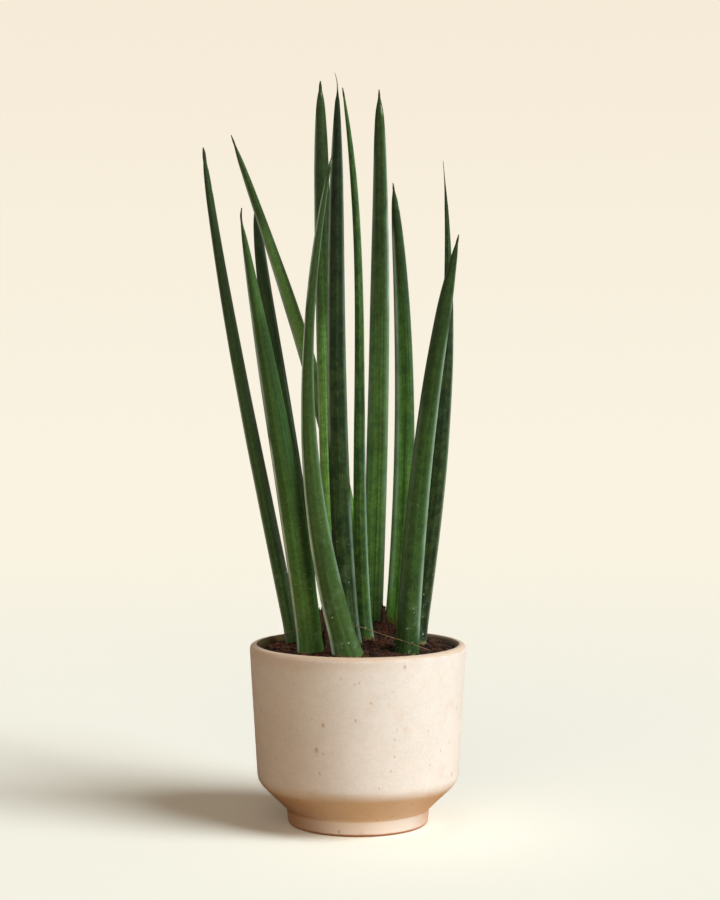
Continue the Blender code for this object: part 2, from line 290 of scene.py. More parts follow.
# Radius of the blunt dry tips of the others
BLUNT_TIPS = {
    "leaf_01": 1.25 * MM,
    "leaf_02": 0.6 * MM,
    "leaf_03": 0.9 * MM,
    "leaf_05": 0.65 * MM,
    "leaf_07": 0.65 * MM,
    "leaf_08": 1.0 * MM,
    "leaf_09": 0.75 * MM,
    "leaf_10": 0.75 * MM,
    "leaf_11": 0.8 * MM,
}
BLUNT_LENGTH = 4 * MM
# How strongly the fine lines show along the leaves, where it isn't the full amount
LINE_AMOUNTS = {
    "leaf_01": 0.6,
    "leaf_02": 0.45,
    "leaf_03": 0.35,
    "leaf_05": 0.6,
    "leaf_08": 1.4,
    "leaf_11": 0.5,
}
# How strongly each leaf shows its cross bands, where it isn't the usual amount
BAND_AMOUNTS = {
    "leaf_06": 1.0,
    "leaf_07": 0.9,
    "leaf_08": 0.4,
    "leaf_09": 0.45,
    "leaf_10": 0.6,
    "leaf_11": 0.5,
    "leaf_12": 1.15,
}
USUAL_BANDS = 0.2
# Finish of the skins
GREEN_DEEPENS = (0.15, 0.42)
LIME_REACH = 0.13
BAND_TINT = (0.42, 0.52, 0.62)
BAND_STRETCH = (0.8, 0.8, 135.0)
SPOT_TINT = (1.9, 1.45, 1.0)
SCRATCH_STRETCH = (300.0, 300.0, 1700.0)
STRAND_STRETCH = (1500.0, 1500.0, 160.0)
PALE_MARKS = seen(206, 212, 192)
DARK_STAIN = seen(66, 50, 30)
GREENISH_STAIN = seen(124, 120, 64)
# Spacing, size, share of the places that have one, softness
BAND_SPOTS = (5 * MM, 0.34, 0.5, 0.95)
PALE_DOTS = (3.4 * MM, 0.2, 0.5, 0.6)
# Broad streaks, fine ones and dark lines: how many, how they run, step in the noise
LEAF_STREAKS = ((2.2, 9.0, 0.0), (8.0, 14.0, 3.0), (5.0, 3.0, 8.0))

# The dry stem that lies across the leaves, from the left of the pot to the right front
DRY_STEM_ROUTE = (
    (-49.5, 12, 118.6),
    (-45, 13.5, 120.2),
    (-38, 10, 122.4),
    (-25, -8.5, 126.5),
    (-12, -22, 129),
    (-1.5, -25, 129),
    (9.5, -25.5, 125.8),
    (19, -31.5, 123.5),
    (27, -36, 121.6),
    (36, -38.5, 118.8),
    (46.5, -42, 115.4),
)
DRY_STEM_THICKNESS = 0.62 * MM
DRY_STEM_STEPS = 130
DRY_STEM_WAVE = 0.25 * MM
DRY_STEM_WAVE_SPACING = 6 * MM

# The dry husks at the feet of some leaves: leaf, middle and half width in turns, height
HUSKS = (
    ("leaf_09", 0.02, 0.34, 3 * MM),
    ("leaf_07", 0.55, 0.34, 3 * MM),
    ("leaf_06", 0.60, 0.30, 2.5 * MM),
    ("leaf_04", 0.95, 0.34, 3 * MM),
)
HUSK_COLUMNS = 60
HUSK_ROWS = 10
HUSK_SIDES = 120
HUSK_SINK = 4 * MM
HUSK_THICKNESS = 0.25 * MM
HUSK_GAP = 0.12 * MM

# Withered sheaths between the leaves: x, y, height, width, lean to the right
WITHERED = (
    (-21.9 * MM, -12 * MM, 30.5 * MM, 4.8 * MM, -2.3 * MM),
    (-20.0 * MM, -9 * MM, 23 * MM, 4.4 * MM, -1.6 * MM),
    (-19.6 * MM, -15 * MM, 14 * MM, 3.4 * MM, -0.8 * MM),
    (16.8 * MM, 27.0 * MM, 14 * MM, 4.2 * MM, 0.3 * MM),
)
SHEATH_COLUMNS = 22
SHEATH_ROWS = 24
SHEATH_SINK = 3 * MM
SHEATH_THICKNESS = 0.3 * MM

# Tufts of dry root hair: x and y, height, spread, how many hairs
TUFTS = (
    (-21 * MM, -12 * MM, 17 * MM, 2.2 * MM, 60),
    (20 * MM, 10 * MM, 8 * MM, 4 * MM, 60),
    (14 * MM, -8 * MM, 6 * MM, 5 * MM, 60),
    (-14 * MM, -34 * MM, 8 * MM, 2.5 * MM, 30),
    (47 * MM, -8 * MM, 5 * MM, 4 * MM, 30),
    (-48 * MM, 0, 5 * MM, 5 * MM, 30),
)
ROOT_HAIR_STEPS = 10
ROOT_HAIR_WAVE = 1.6 * MM

# Camera, placed where the photograph was taken from
CAMERA_DISTANCE = 1270 * MM
CAMERA_HEIGHT = 287.3 * MM
CAMERA_SIDE = 1.3 * MM
CAMERA_LENS = 78.7
CAMERA_SENSOR = 36.0
IMAGE_HEIGHT = 900
HORIZON_ABOVE_MIDDLE = 74

# Stage
FLOOR_SPREAD = 2.4
COVE_RADIUS = 0.8
WALL_TOP = 3.2
COVE_STEPS = 24
STAGE_SIDES = 120
KEY_SIDE = math.radians(62)
KEY_HEIGHT = math.radians(40)
KEY_SOFTNESS = math.radians(36)
FILL_SIDE = math.radians(-10)
FILL_HEIGHT = math.radians(22)
FILL_SOFTNESS = math.radians(50)


# Sizes and colours that a user would change

class PotLook(bpy.types.PropertyGroup):
    """Finish of the stoneware pot."""

    glaze: bpy.props.FloatVectorProperty(
        name="Glaze", description="Colour of the matte glaze",
        subtype="COLOR", min=0, max=1, default=seen(231, 228, 225))
    # Painted light: the paler glaze colour laid just above the foot
    foot_painted_light: bpy.props.FloatVectorProperty(
        name="Thick glaze", description="Paler glaze where it has run together on the foot",
        subtype="COLOR", min=0, max=1, default=seen(247, 241, 233))
    # Also the colour of the painted shade under the lip, on the lip and low at both sides
    clay: bpy.props.FloatVectorProperty(
        name="Clay", description="Colour of the bare clay at the foot's edge",
        subtype="COLOR", min=0, max=1, default=seen(196, 152, 108))
    specks: bpy.props.FloatVectorProperty(
        name="Specks", description="Colour of the iron specks in the glaze",
        subtype="COLOR", min=0, max=1, default=seen(176, 121, 50))
    blush: bpy.props.FloatVectorProperty(
        name="Blush", description="Colour of the faint rosy patches in the glaze",
        subtype="COLOR", min=0, max=1, default=seen(222, 194, 166))
    # Painted shade: the dark colour laid over the inner wall
    inner_shade: bpy.props.FloatVectorProperty(
        name="Damp", description="Stain of the damp soil on the inner wall",
        subtype="COLOR", min=0, max=1, default=seen(80, 62, 26))
    speck_spacing: bpy.props.FloatProperty(
        name="Speck spacing", description="Usual distance from one speck to the next",
        unit="LENGTH", min=0.002, max=0.05, default=7.2 * MM)


class LeafLook(bpy.types.PropertyGroup):
    """Skin of the leaves."""

    deep: bpy.props.FloatVectorProperty(
        name="Deep green", description="Skin of the darkest leaves",
        subtype="COLOR", min=0, max=1, default=(0.0225, 0.0500, 0.0138))
    middle: bpy.props.FloatVectorProperty(
        name="Middle green", description="Skin of most leaves",
        subtype="COLOR", min=0, max=1, default=(0.0300, 0.0770, 0.0175))
    bright: bpy.props.FloatVectorProperty(
        name="Bright green", description="Skin of the youngest leaves",
        subtype="COLOR", min=0, max=1, default=(0.0460, 0.1000, 0.0220))
    top_shade: bpy.props.FloatVectorProperty(
        name="Upper shade", description="How the green deepens towards the tips",
        subtype="COLOR", min=0, max=1, default=(0.60, 0.58, 0.66))
    # Colour of the pale ridges: partly the skin's own pale margin, partly painted highlight
    margin: bpy.props.FloatVectorProperty(
        name="Ridges", description="Pale wax along the ridges of the skin",
        subtype="COLOR", min=0, max=1, default=seen(202, 243, 222))
    spine: bpy.props.FloatVectorProperty(
        name="Spine", description="Hair at the very tip",
        subtype="COLOR", min=0, max=1, default=seen(150, 130, 106))
    dust: bpy.props.FloatVectorProperty(
        name="Dust", description="Film of lime and dust low on the leaves",
        subtype="COLOR", min=0, max=1, default=seen(132, 150, 128))
    dry: bpy.props.FloatVectorProperty(
        name="Dry tip", description="Dried spine at the tip",
        subtype="COLOR", min=0, max=1, default=seen(58, 51, 42))


class SoilLook(bpy.types.PropertyGroup):
    """Peaty soil with its crumbs and fibres."""

    peat: bpy.props.FloatVectorProperty(
        name="Peat", description="Colour of the moist peat",
        subtype="COLOR", min=0, max=1, default=seen(66, 37, 24))
    fibre: bpy.props.FloatVectorProperty(
        name="Fibre", description="Colour of the coir fibres",
        subtype="COLOR", min=0, max=1, default=seen(126, 72, 44))
    sheath: bpy.props.FloatVectorProperty(
        name="Sheath", description="Colour of the withered sheaths",
        subtype="COLOR", min=0, max=1, default=seen(70, 46, 24))
    stem: bpy.props.FloatVectorProperty(
        name="Stem", description="Colour of the long dry stem",
        subtype="COLOR", min=0, max=1, default=seen(136, 112, 76))
    husk: bpy.props.FloatVectorProperty(
        name="Husk", description="Colour of the papery husks at the leaves' feet",
        subtype="COLOR", min=0, max=1, default=seen(92, 84, 40))
    crumbs: bpy.props.IntProperty(
        name="Crumbs", description="How many loose crumbs lie on the soil",
        min=0, max=2000, default=1500)
    fibres: bpy.props.IntProperty(
        name="Fibres", description="How many coir fibres lie on the soil",
        min=0, max=900, default=200)


class StageLook(bpy.types.PropertyGroup):
    """Backdrop and lights."""

    backdrop: bpy.props.FloatVectorProperty(
        name="Backdrop", description="Colour of the floor and the backdrop",
        subtype="COLOR", min=0, max=1, default=seen(247, 243, 233))
    bounce: bpy.props.FloatVectorProperty(
        name="Bounce", description="Colour that the lit side of the floor throws back",
        subtype="COLOR", min=0, max=1, default=(0.68, 0.37, 0.145))
    dim_bounce: bpy.props.FloatVectorProperty(
        name="Dim bounce", description="Colour that the shaded side of the floor throws back",
        subtype="COLOR", min=0, max=1, default=(0.30, 0.125, 0.022))
    floor_glow: bpy.props.FloatVectorProperty(
        name="Far floor", description="Brightness of the floor far from the pot",
        subtype="COLOR", min=0, max=1, default=seen(250, 243, 225))
    wall_glow: bpy.props.FloatVectorProperty(
        name="Wall", description="Brightness of the wall",
        subtype="COLOR", min=0, max=1, default=seen(246, 235, 216))
    key_strength: bpy.props.FloatProperty(
        name="Key strength", description="Strength of the soft light from the right",
        min=0, max=50, default=3.65)
    key: bpy.props.FloatVectorProperty(
        name="Key colour", description="Colour of the soft light from the right",
        subtype="COLOR", min=0, max=1, default=(0.89, 0.98, 1.0))
    fill_strength: bpy.props.FloatProperty(
        name="Fill strength", description="Strength of the faint light from the front",
        min=0, max=50, default=0.74)
    fill: bpy.props.FloatVectorProperty(
        name="Fill colour", description="Colour of the faint light from the front",
        subtype="COLOR", min=0, max=1, default=(1.0, 0.91, 0.74))
    air: bpy.props.FloatVectorProperty(
        name="Air", description="Colour of the even light from all round",
        subtype="COLOR", min=0, max=1, default=(1.0, 0.75, 0.54))
    air_strength: bpy.props.FloatProperty(
        name="Air strength", description="Strength of the even light from all round",
        min=0, max=5, default=0.165)


# Meshes

def smooth_piece(name, points, faces, material):
    """Make a smooth mesh with one material."""
    mesh = bpy.data.meshes.new(name)
    mesh.from_pydata(points, [], faces)
    mesh.materials.append(material)
    mesh.shade_smooth()
    mesh.validate()
    piece = bpy.data.objects.new(name, mesh)
    bpy.context.scene.collection.objects.link(piece)
    return piece


def add_piece(name, points, faces, material, stands_for=()):
    """Make a piece that rides on the plant's one body."""
    piece = smooth_piece(name, points, faces, material)
    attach(piece, BODY)
    if stands_for:
        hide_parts(*stands_for)
    return piece


def add_attribute(piece, name, values):
    """Store one number or one vector for each point of a piece."""
    values = np.asarray(values, dtype=np.float32)
    kind, field = ("FLOAT", "value") if values.ndim == 1 else ("FLOAT_VECTOR", "vector")
    attribute = piece.data.attributes.new(name, kind, "POINT")
    attribute.data.foreach_set(field, values.ravel())


def grid_faces(rows, columns, start=0):
    """Faces between rows of points that close round on themselves."""
    faces = []
    for row in range(rows - 1):
        low = start + row * columns
        high = low + columns
        for i in range(columns):
            j = (i + 1) % columns
            faces.append((low + i, low + j, high + j, high + i))
    return faces


def fan_faces(ring_start, columns, pole, upward):
    """Faces from a ring to the pole that closes it."""
    faces = []
    for i in range(columns):
        j = (i + 1) % columns
        pair = (ring_start + i, ring_start + j) if upward else (ring_start + j, ring_start + i)
        faces.append((*pair, pole))
    return faces


def closed_skin(rings):
    """Points and faces of rings that run upwards round a shape, closed by a pole at each end."""
    rings = np.asarray(rings)
    rows, columns, _ = rings.shape
    points = [tuple(point) for point in rings.reshape(-1, 3)]
    points.append(tuple(rings[0].mean(axis=0)))
    points.append(tuple(rings[-1].mean(axis=0)))
    faces = grid_faces(rows, columns)
    faces += fan_faces(0, columns, rows * columns, upward=False)
    faces += fan_faces((rows - 1) * columns, columns, rows * columns + 1, upward=True)
    return points, faces


def smooth_rows(stations, rows, at):
    """Rows of numbers on the smooth curve through the given rows, at new stations."""
    stations = np.asarray(stations, dtype=float)
    rows = np.asarray(rows, dtype=float)
    shape = rows.shape[1:]
    flat = rows.reshape(len(rows), -1)
    gaps = np.diff(stations)
    slopes = np.diff(flat, axis=0) / gaps[:, None]
    inner = slopes[:-1] * gaps[1:, None] + slopes[1:] * gaps[:-1, None]
    inner /= (gaps[:-1] + gaps[1:])[:, None]
    tangents = np.vstack([slopes[:1], inner, slopes[-1:]])
    k = np.clip(np.searchsorted(stations, at, side="right") - 1, 0, len(gaps) - 1)
    gap = gaps[k][:, None]
    t = ((np.asarray(at) - stations[k]) / gaps[k])[:, None]
    made = (flat[k] * (1 + 2 * t) * (1 - t) ** 2 + tangents[k] * gap * t * (1 - t) ** 2
            + flat[k + 1] * t * t * (3 - 2 * t) + tangents[k + 1] * gap * t * t * (t - 1))
    return made.reshape(len(at), *shape)


def tube(route, thickness, sides, taper):
    """Rings of a thin tube along a route, thinner towards its ends by the taper."""
    route = [Vector(point) for point in route]
    side = Vector((0, 0, 1))
    rings = []
    for k, point in enumerate(route):
        ahead = (route[min(k + 1, len(route) - 1)] - route[max(k - 1, 0)]).normalized()
        side = (side - ahead * side.dot(ahead)).normalized()
        across = ahead.cross(side)
        part = k / (len(route) - 1)
        radius = thickness / 2 * (1 - taper * abs(2 * part - 1) ** 2)
        ring = []
        for i in range(sides):
            angle = 2 * math.pi * i / sides
            ring.append(point + (across * math.sin(angle) + side * math.cos(angle)) * radius)
        rings.append([tuple(corner) for corner in ring])
    return rings


def join_skins(skins):
    """One list of points and faces from several closed skins."""
    points = []
    faces = []
    counts = []
    for skin_points, skin_faces in skins:
        start = len(points)
        points += skin_points
        faces += [tuple(start + i for i in face) for face in skin_faces]
        counts.append(len(skin_points))
    return points, faces, counts


def add_dry_piece(name, skins, finish, colour, contrast):
    """Make one piece of dry matter from several closed skins."""
    points, faces, _ = join_skins(skins)
    return add_piece(name, points, faces, dry_material(finish, colour, contrast))


def lump(x, y, z, spacing, seed=0.0):
    """Soft noise from about minus one to one, with lumps of the given spacing."""
    return noise.noise((x / spacing + seed, y / spacing - seed, z / spacing + 2 * seed))


# Shader nodes

def fill(tree, node, inputs):
    """Link or fill a node's own inputs."""
    for socket, value in inputs.items():
        if isinstance(value, bpy.types.NodeSocket):
            tree.links.new(value, node.inputs[socket])
        else:
            node.inputs[socket].default_value = value


def place(tree, kind, inputs=None, **settings):
    """Add a node, with its settings and its inputs."""
    made = tree.nodes.new(kind)
    made.location = (220 * (len(tree.nodes) % 8), -260 * (len(tree.nodes) // 8))
    for name, value in settings.items():
        setattr(made, name, value)
    fill(tree, made, inputs or {})
    return made


def maths(tree, operation, *values):
    """One number worked out from others."""
    return place(tree, "ShaderNodeMath", dict(enumerate(values)), operation=operation).outputs[0]


def times(tree, first, *others):
    """A number times each of the others in turn."""
    for other in others:
        first = maths(tree, "MULTIPLY", first, other)
    return first


def vector_maths(tree, operation, first, second):
    """One vector worked out from two others."""
    made = place(tree, "ShaderNodeVectorMath", {0: first, 1: second}, operation=operation)
    return made.outputs[0]


def parts_of(tree, vector):
    """The three numbers of a vector: to the side, to the back and up."""
    return place(tree, "ShaderNodeSeparateXYZ", {0: vector}).outputs


def from_axis(tree, vector):
    """How far a place is from the upright axis."""
    flat = vector_maths(tree, "MULTIPLY", vector, (1.0, 1.0, 0.0))
    return place(tree, "ShaderNodeVectorMath", {0: flat}, operation="LENGTH").outputs["Value"]


def ramp(tree, value, low, high, to_low=0.0, to_high=1.0):
    """A value carried smoothly from one range to another."""
    made = place(tree, "ShaderNodeMapRange", {
        "Value": value, "From Min": low, "From Max": high,
        "To Min": to_low, "To Max": to_high,
    }, interpolation_type="SMOOTHSTEP")
    return made.outputs["Result"]


def whole_colour(colour):
    """A colour with its fourth number, or the socket that gives one."""
    plain = not isinstance(colour, bpy.types.NodeSocket)
    return (*colour[:3], 1.0) if plain else colour


def blend(tree, factor, first, second, mode="MIX"):
    """Two colours mixed by a factor."""
    made = place(tree, "ShaderNodeMix",
                 {0: factor, 6: whole_colour(first), 7: whole_colour(second)},
                 data_type="RGBA", blend_type=mode)
    return made.outputs[2]


def tinted(tree, factor, colour, tint):
    """A colour turned towards a tint of itself by a factor."""
    return blend(tree, factor, colour, blend(tree, 1.0, colour, tint, "MULTIPLY"))


def toned(tree, value, colour):
    """A colour made lighter or darker by a value."""
    made = place(tree, "ShaderNodeHueSaturation", {"Value": value, "Color": colour})
    return made.outputs["Color"]


def clouds(tree, where, scale, detail, roughness=0.5, distortion=0.0):
    """Soft noise with its scale, detail and roughness."""
    made = place(tree, "ShaderNodeTexNoise", {
        "Vector": where, "Scale": scale, "Detail": detail, "Roughness": roughness,
        "Distortion": distortion})
    return made.outputs["Fac"]


FLOAT = "NodeSocketFloat"
VECTOR = "NodeSocketVector"
COLOUR = "NodeSocketColor"


def build_specks(tree, given, result):
    """Round specks scattered at random: spacing, size and the share of places that have one."""
    scale = maths(tree, "DIVIDE", 1.0, given["Spacing"])
    cells = place(tree, "ShaderNodeTexVoronoi",
                  {"Vector": given["Place"], "Scale": scale, "Randomness": 1.0})
    chances = place(tree, "ShaderNodeSeparateColor", {"Color": cells.outputs["Color"]}).outputs
    present = maths(tree, "LESS_THAN", chances[0], given["Share"])
    varied = maths(tree, "MULTIPLY_ADD", chances[1], 0.7, 0.3)
    radius = times(tree, varied, given["Size"])
    edge = times(tree, radius, maths(tree, "SUBTRACT", 1.0, given["Softness"]))
    spot = ramp(tree, cells.outputs["Distance"], edge, radius, 1.0, 0.0)
    tree.links.new(times(tree, spot, present), result["Mask"])
    tree.links.new(chances[2], result["Chance"])


def build_uneven_tone(tree, given, result):
    """A colour made lighter and darker in soft patches."""
    patches = clouds(tree, given["Place"], given["Scale"], 5.0, 0.6)
    centred = maths(tree, "SUBTRACT", patches, 0.5)
    swing = times(tree, centred, given["Amount"])
    value = maths(tree, "MULTIPLY_ADD", swing, 2.0, 1.0)
    tree.links.new(toned(tree, value, given["Colour"]), result["Colour"])
    tree.links.new(patches, result["Patches"])


def build_streaks(tree, given, result):
    """Fine streaks along a leaf, from its own place: across, across and up."""
    stretch = place(tree, "ShaderNodeCombineXYZ", {
        0: given["Count"], 1: given["Count"], 2: given["Run"]})
    spread = vector_maths(tree, "MULTIPLY", given["Place"], stretch.outputs[0])
    moved = vector_maths(tree, "ADD", spread, given["Seed"])
    streaks = clouds(tree, moved, 1.0, 4.0, 0.55)
    tree.links.new(ramp(tree, streaks, 0.32, 0.68), result["Streaks"])


# Shared effects: what builds each, its inputs with their values, and its outputs
EFFECTS = {
    "scattered_specks": (
        build_specks,
        (("Place", VECTOR, None), ("Spacing", FLOAT, 0.005), ("Size", FLOAT, 0.1),
         ("Share", FLOAT, 0.5), ("Softness", FLOAT, 0.4)),
        (("Mask", FLOAT), ("Chance", FLOAT)),
    ),
    "uneven_tone": (
        build_uneven_tone,
        (("Place", VECTOR, None), ("Scale", FLOAT, 50.0), ("Amount", FLOAT, 0.1),
         ("Colour", COLOUR, (0.5, 0.5, 0.5, 1.0))),
        (("Colour", COLOUR), ("Patches", FLOAT)),
    ),
    "lengthwise_streaks": (
        build_streaks,
        (("Place", VECTOR, None), ("Count", FLOAT, 5.0), ("Run", FLOAT, 8.0),
         ("Seed", FLOAT, 0.0)),
        (("Streaks", FLOAT),),
    ),
}


def use_effect(tree, name, *values):
    """Place a shared effect in a material with its own values. It is built the first time."""
    build, inputs, outputs = EFFECTS[name]
    if name not in bpy.data.node_groups:
        group = bpy.data.node_groups.new(name, "ShaderNodeTree")
        for socket_name, kind, default in inputs:
            socket = group.interface.new_socket(socket_name, in_out="INPUT", socket_type=kind)
            if default is not None:
                socket.default_value = default
        for socket_name, kind in outputs:
            group.interface.new_socket(socket_name, in_out="OUTPUT", socket_type=kind)
        given = group.nodes.new("NodeGroupInput")
        result = group.nodes.new("NodeGroupOutput")
        build(group, given.outputs, result.inputs)
    named = dict(zip([socket_name for socket_name, _, _ in inputs], values))
    made = place(tree, "ShaderNodeGroup", node_tree=bpy.data.node_groups[name])
    fill(tree, made, named)
    return made.outputs


def start_material(name, viewport_colour):
    """A material with its Principled shader, ready for its nodes."""
    material = bpy.data.materials.new(name)
    material.use_nodes = True
    material.diffuse_color = (*viewport_colour[:3], 1.0)
    tree = material.node_tree
    return material, tree, tree.nodes["Principled BSDF"]


def own_place(tree):
    """Where a point is on the object, in metres."""
    return place(tree, "ShaderNodeTexCoord").outputs["Object"]


def attribute(tree, name, output="Fac"):
    """A number or a vector stored on the mesh."""
    return place(tree, "ShaderNodeAttribute", attribute_name=name).outputs[output]


def relief(tree, *layers):
    """Bumps laid over one another, each with its height, strength and distance."""
    normal = None
    for height, strength, distance in layers:
        inputs = {"Height": height, "Strength": strength, "Distance": distance}
        if normal is not None:
            inputs["Normal"] = normal
        normal = place(tree, "ShaderNodeBump", inputs).outputs["Normal"]
    return normal


# Materials

def glaze_painted_light_and_shade(tree, side, height, colour, look):
    """The glaze with painted shade in clay colour under the lip and low at both sides, and painted
    light just above the foot between them.
    """
    # Painted shade under the lip, on the left and in the middle
    start, end = UNDER_LIP_SHADE_DEPTHS
    tint = ramp(tree, height, POT_HEIGHT - start, POT_HEIGHT - end, 0.0, 0.2)
    tint = times(tree, tint, ramp(tree, side, 0.0, 0.6 * RIM_RADIUS, 1.0, 0.0))
    colour = blend(tree, tint, colour, look.clay)
    # Painted light just above the foot, between the sides
    low, high = PAINTED_LIGHT_ABOVE_FOOT
    thick = ramp(tree, height, FOOT_HEIGHT + low, FOOT_HEIGHT + high, 0.95, 0.0)
    for start, end in PAINTED_LIGHT_ENDS:
        thick = times(tree, thick, ramp(tree, side, start * RIM_RADIUS, end * RIM_RADIUS))
    colour = blend(tree, thick, colour, look.foot_painted_light)
    # Painted shade and warm reflected light low at both sides
    ends = [ramp(tree, side, start * RIM_RADIUS, end * RIM_RADIUS, *strengths)
            for start, end, *strengths in SIDE_SHADE_ENDS]
    tint = maths(tree, "MAXIMUM", *ends)
    low, high = SIDE_SHADE_TOP
    tint = times(tree, tint, ramp(tree, height, FOOT_HEIGHT, FOOT_HEIGHT + 2 * MM, 0.92, 0.48),
                 ramp(tree, height, low, high, 1.0, 0.0))
    return blend(tree, tint, colour, look.clay)


def glaze_specks(tree, here, warp, colour, look):
    """The glaze with its specks, smudges and fine dust, and where the specks pit it."""
    moved = vector_maths(tree, "ADD", here, warp)
    drawn_up = vector_maths(tree, "MULTIPLY", moved, (1.0, 1.0, 0.7))

    def spots(where, spacing, *others):
        return use_effect(tree, "scattered_specks", where, look.speck_spacing * spacing, *others)

    small, small_chance = spots(drawn_up, *SMALL_SPECKS)
    large, large_chance = spots(drawn_up, *LARGE_SPECKS)
    smudges = spots(drawn_up, *SMUDGES)["Mask"]
    dust = spots(here, *GLAZE_DUST)["Mask"]
    small = times(tree, small, maths(tree, "MULTIPLY_ADD", small_chance, 0.45, 0.3))
    large = times(tree, large, maths(tree, "MULTIPLY_ADD", large_chance, 0.4, 0.3))
    colour = blend(tree, times(tree, smudges, 0.4), colour, look.blush)
    for mask in (times(tree, dust, 0.12), large, small):
        colour = blend(tree, mask, colour, look.specks)
    return colour, maths(tree, "MAXIMUM", small, large)


def bare_clay_and_lip_shade(tree, here, height, outwards, ragged, colour, look):
    """The glaze worn thin on the lip, partly painted shade there, and ended in a ragged line above
    the foot's edge.
    """
    # The clay tint on the lip is partly glaze worn thin, partly painted shade on the lip's lit top
    lip_wear_and_shade_from = POT_HEIGHT - LIP_WEAR_AND_SHADE_START
    worn = ramp(tree, height, maths(tree, "MULTIPLY_ADD", ragged, -4 * MM, lip_wear_and_shade_from),
                lip_wear_and_shade_from, 0.0, 0.6)
    outer = ramp(tree, outwards, INNER_RIM_RADIUS + 1.0 * MM, INNER_RIM_RADIUS + 2.2 * MM)
    colour = blend(tree, times(tree, worn, outer), colour, look.clay)
    edge = maths(tree, "MULTIPLY_ADD", ragged, 0.9 * MM, 0.7 * MM)
    bare = ramp(tree, height, edge, maths(tree, "ADD", edge, 0.9 * MM), 1.0, 0.0)
    clay = use_effect(tree, "uneven_tone", here, 260.0, 0.25, whole_colour(look.clay))["Colour"]
    return blend(tree, bare, colour, clay), bare


def inner_wall_shade_mask(tree, side, height, inwards, ragged):
    """Mask of the painted shade on the inner wall, from the soil up to the lip, weaker towards the
    right.
    """
    inside = ramp(tree, inwards, INNER_RIM_RADIUS + 0.1 * MM, INNER_RIM_RADIUS + 1.0 * MM,
                  1.0, 0.0)
    shade_low_edge = maths(tree, "MULTIPLY_ADD", ragged, 4 * MM, SOIL_EDGE_HEIGHT - 1 * MM)
    inner_shade = ramp(tree, height, shade_low_edge, maths(tree, "ADD", shade_low_edge, 4 * MM), 0.995, 0.965)
    return times(tree, inner_shade, ramp(tree, side, -0.2 * RIM_RADIUS, RIM_RADIUS, 1.0, 0.85), inside,
                 ramp(tree, height, 0.6 * POT_HEIGHT, 0.8 * POT_HEIGHT))


def stoneware_material(look):
    """Matte cream glaze over speckled clay, bare at the foot's lower edge, with painted light and
    shade at the lip, above the foot, low at the sides and on the inner wall.
    """
    material, tree, shader = start_material("stoneware_glaze", look.glaze)
    here = own_place(tree)
    side, depth, height = parts_of(tree, here)
    colour, patches = use_effect(tree, "uneven_tone", here, 30.0, 0.05, whole_colour(look.glaze))
    for scale, amount in ((150.0, 0.07), (620.0, 0.12)):
        colour = use_effect(tree, "uneven_tone", here, scale, amount, colour)["Colour"]
    blush = clouds(tree, here, 70.0, 3.0)
    colour = blend(tree, ramp(tree, blush, 0.55, 0.8, 0.0, 0.18), colour, look.blush)
    colour = glaze_painted_light_and_shade(tree, side, height, colour, look)
    warp = place(tree, "ShaderNodeVectorMath",
                 {0: blush.node.outputs["Color"], "Scale": SPECK_WARP}, operation="SCALE")
    colour, pitted = glaze_specks(tree, here, warp.outputs[0], colour, look)

    ragged = clouds(tree, here, 90.0, 3.0)
    across = from_axis(tree, here)
    # Towards the back the lip's clay tint covers all the lip and the inner wall's painted shade
    # reaches higher: painted shade on the far lip
    back = ramp(tree, depth, -45 * MM, 10 * MM)
    outwards = maths(tree, "ADD", across, times(tree, back, 2.4 * MM))
    colour, bare = bare_clay_and_lip_shade(tree, here, height, outwards, ragged, colour, look)
    inwards = maths(tree, "SUBTRACT", across, times(tree, back, 1.6 * MM))
    # Painted shade over the inner wall, in its own dark colour
    inner_shade = inner_wall_shade_mask(tree, side, height, inwards, ragged)
    colour = blend(tree, inner_shade, colour, look.inner_shade)

    rough = ramp(tree, patches, 0.3, 0.7, 0.46, 0.6)
    rough = maths(tree, "MAXIMUM", rough, times(tree, bare, 0.9))
    sand = clouds(tree, here, 900.0, 3.0, 0.65)
    turning = clouds(tree, vector_maths(tree, "MULTIPLY", here, TURNING_MARKS), 1.0, 2.0)
    pits = maths(tree, "SUBTRACT", 1.0, pitted)
    fill(tree, shader, {
        "Base Color": colour,
        "Roughness": maths(tree, "MAXIMUM", rough, inner_shade),
        "Specular IOR Level": 0.22,
        "Normal": relief(tree, (turning, 0.16, 0.3 * MM), (sand, 0.22, 0.25 * MM),
                         (pits, 0.1, 0.2 * MM)),
    })
    return material


def leaf_green(tree, name, look, base, height, patches):
    """A leaf's green, from its tone that is partly painted light, deeper upwards, with strips of
    painted light and painted shade and its yellowish places.
    """
    low_tone, high_tone = LEAF_TONES[name]
    low = tuple(channel * low_tone for channel in base)
    high = tuple(channel * high_tone * shade for channel, shade in zip(base, look.top_shade))
    colour = blend(tree, ramp(tree, height, *GREEN_DEEPENS), low, high)
    # Strips of painted light and painted shade along the leaf
    colour = tinted(tree, attribute(tree, "painted_light"), colour, PAINTED_LIGHT_TINT)
    colour = tinted(tree, attribute(tree, "shade"), colour, SHADING)
    yellow = ramp(tree, patches, 0.3, 0.65, 0.0, YELLOW_AMOUNTS.get(name, USUAL_YELLOW))
    return tinted(tree, yellow, colour, YELLOWING)


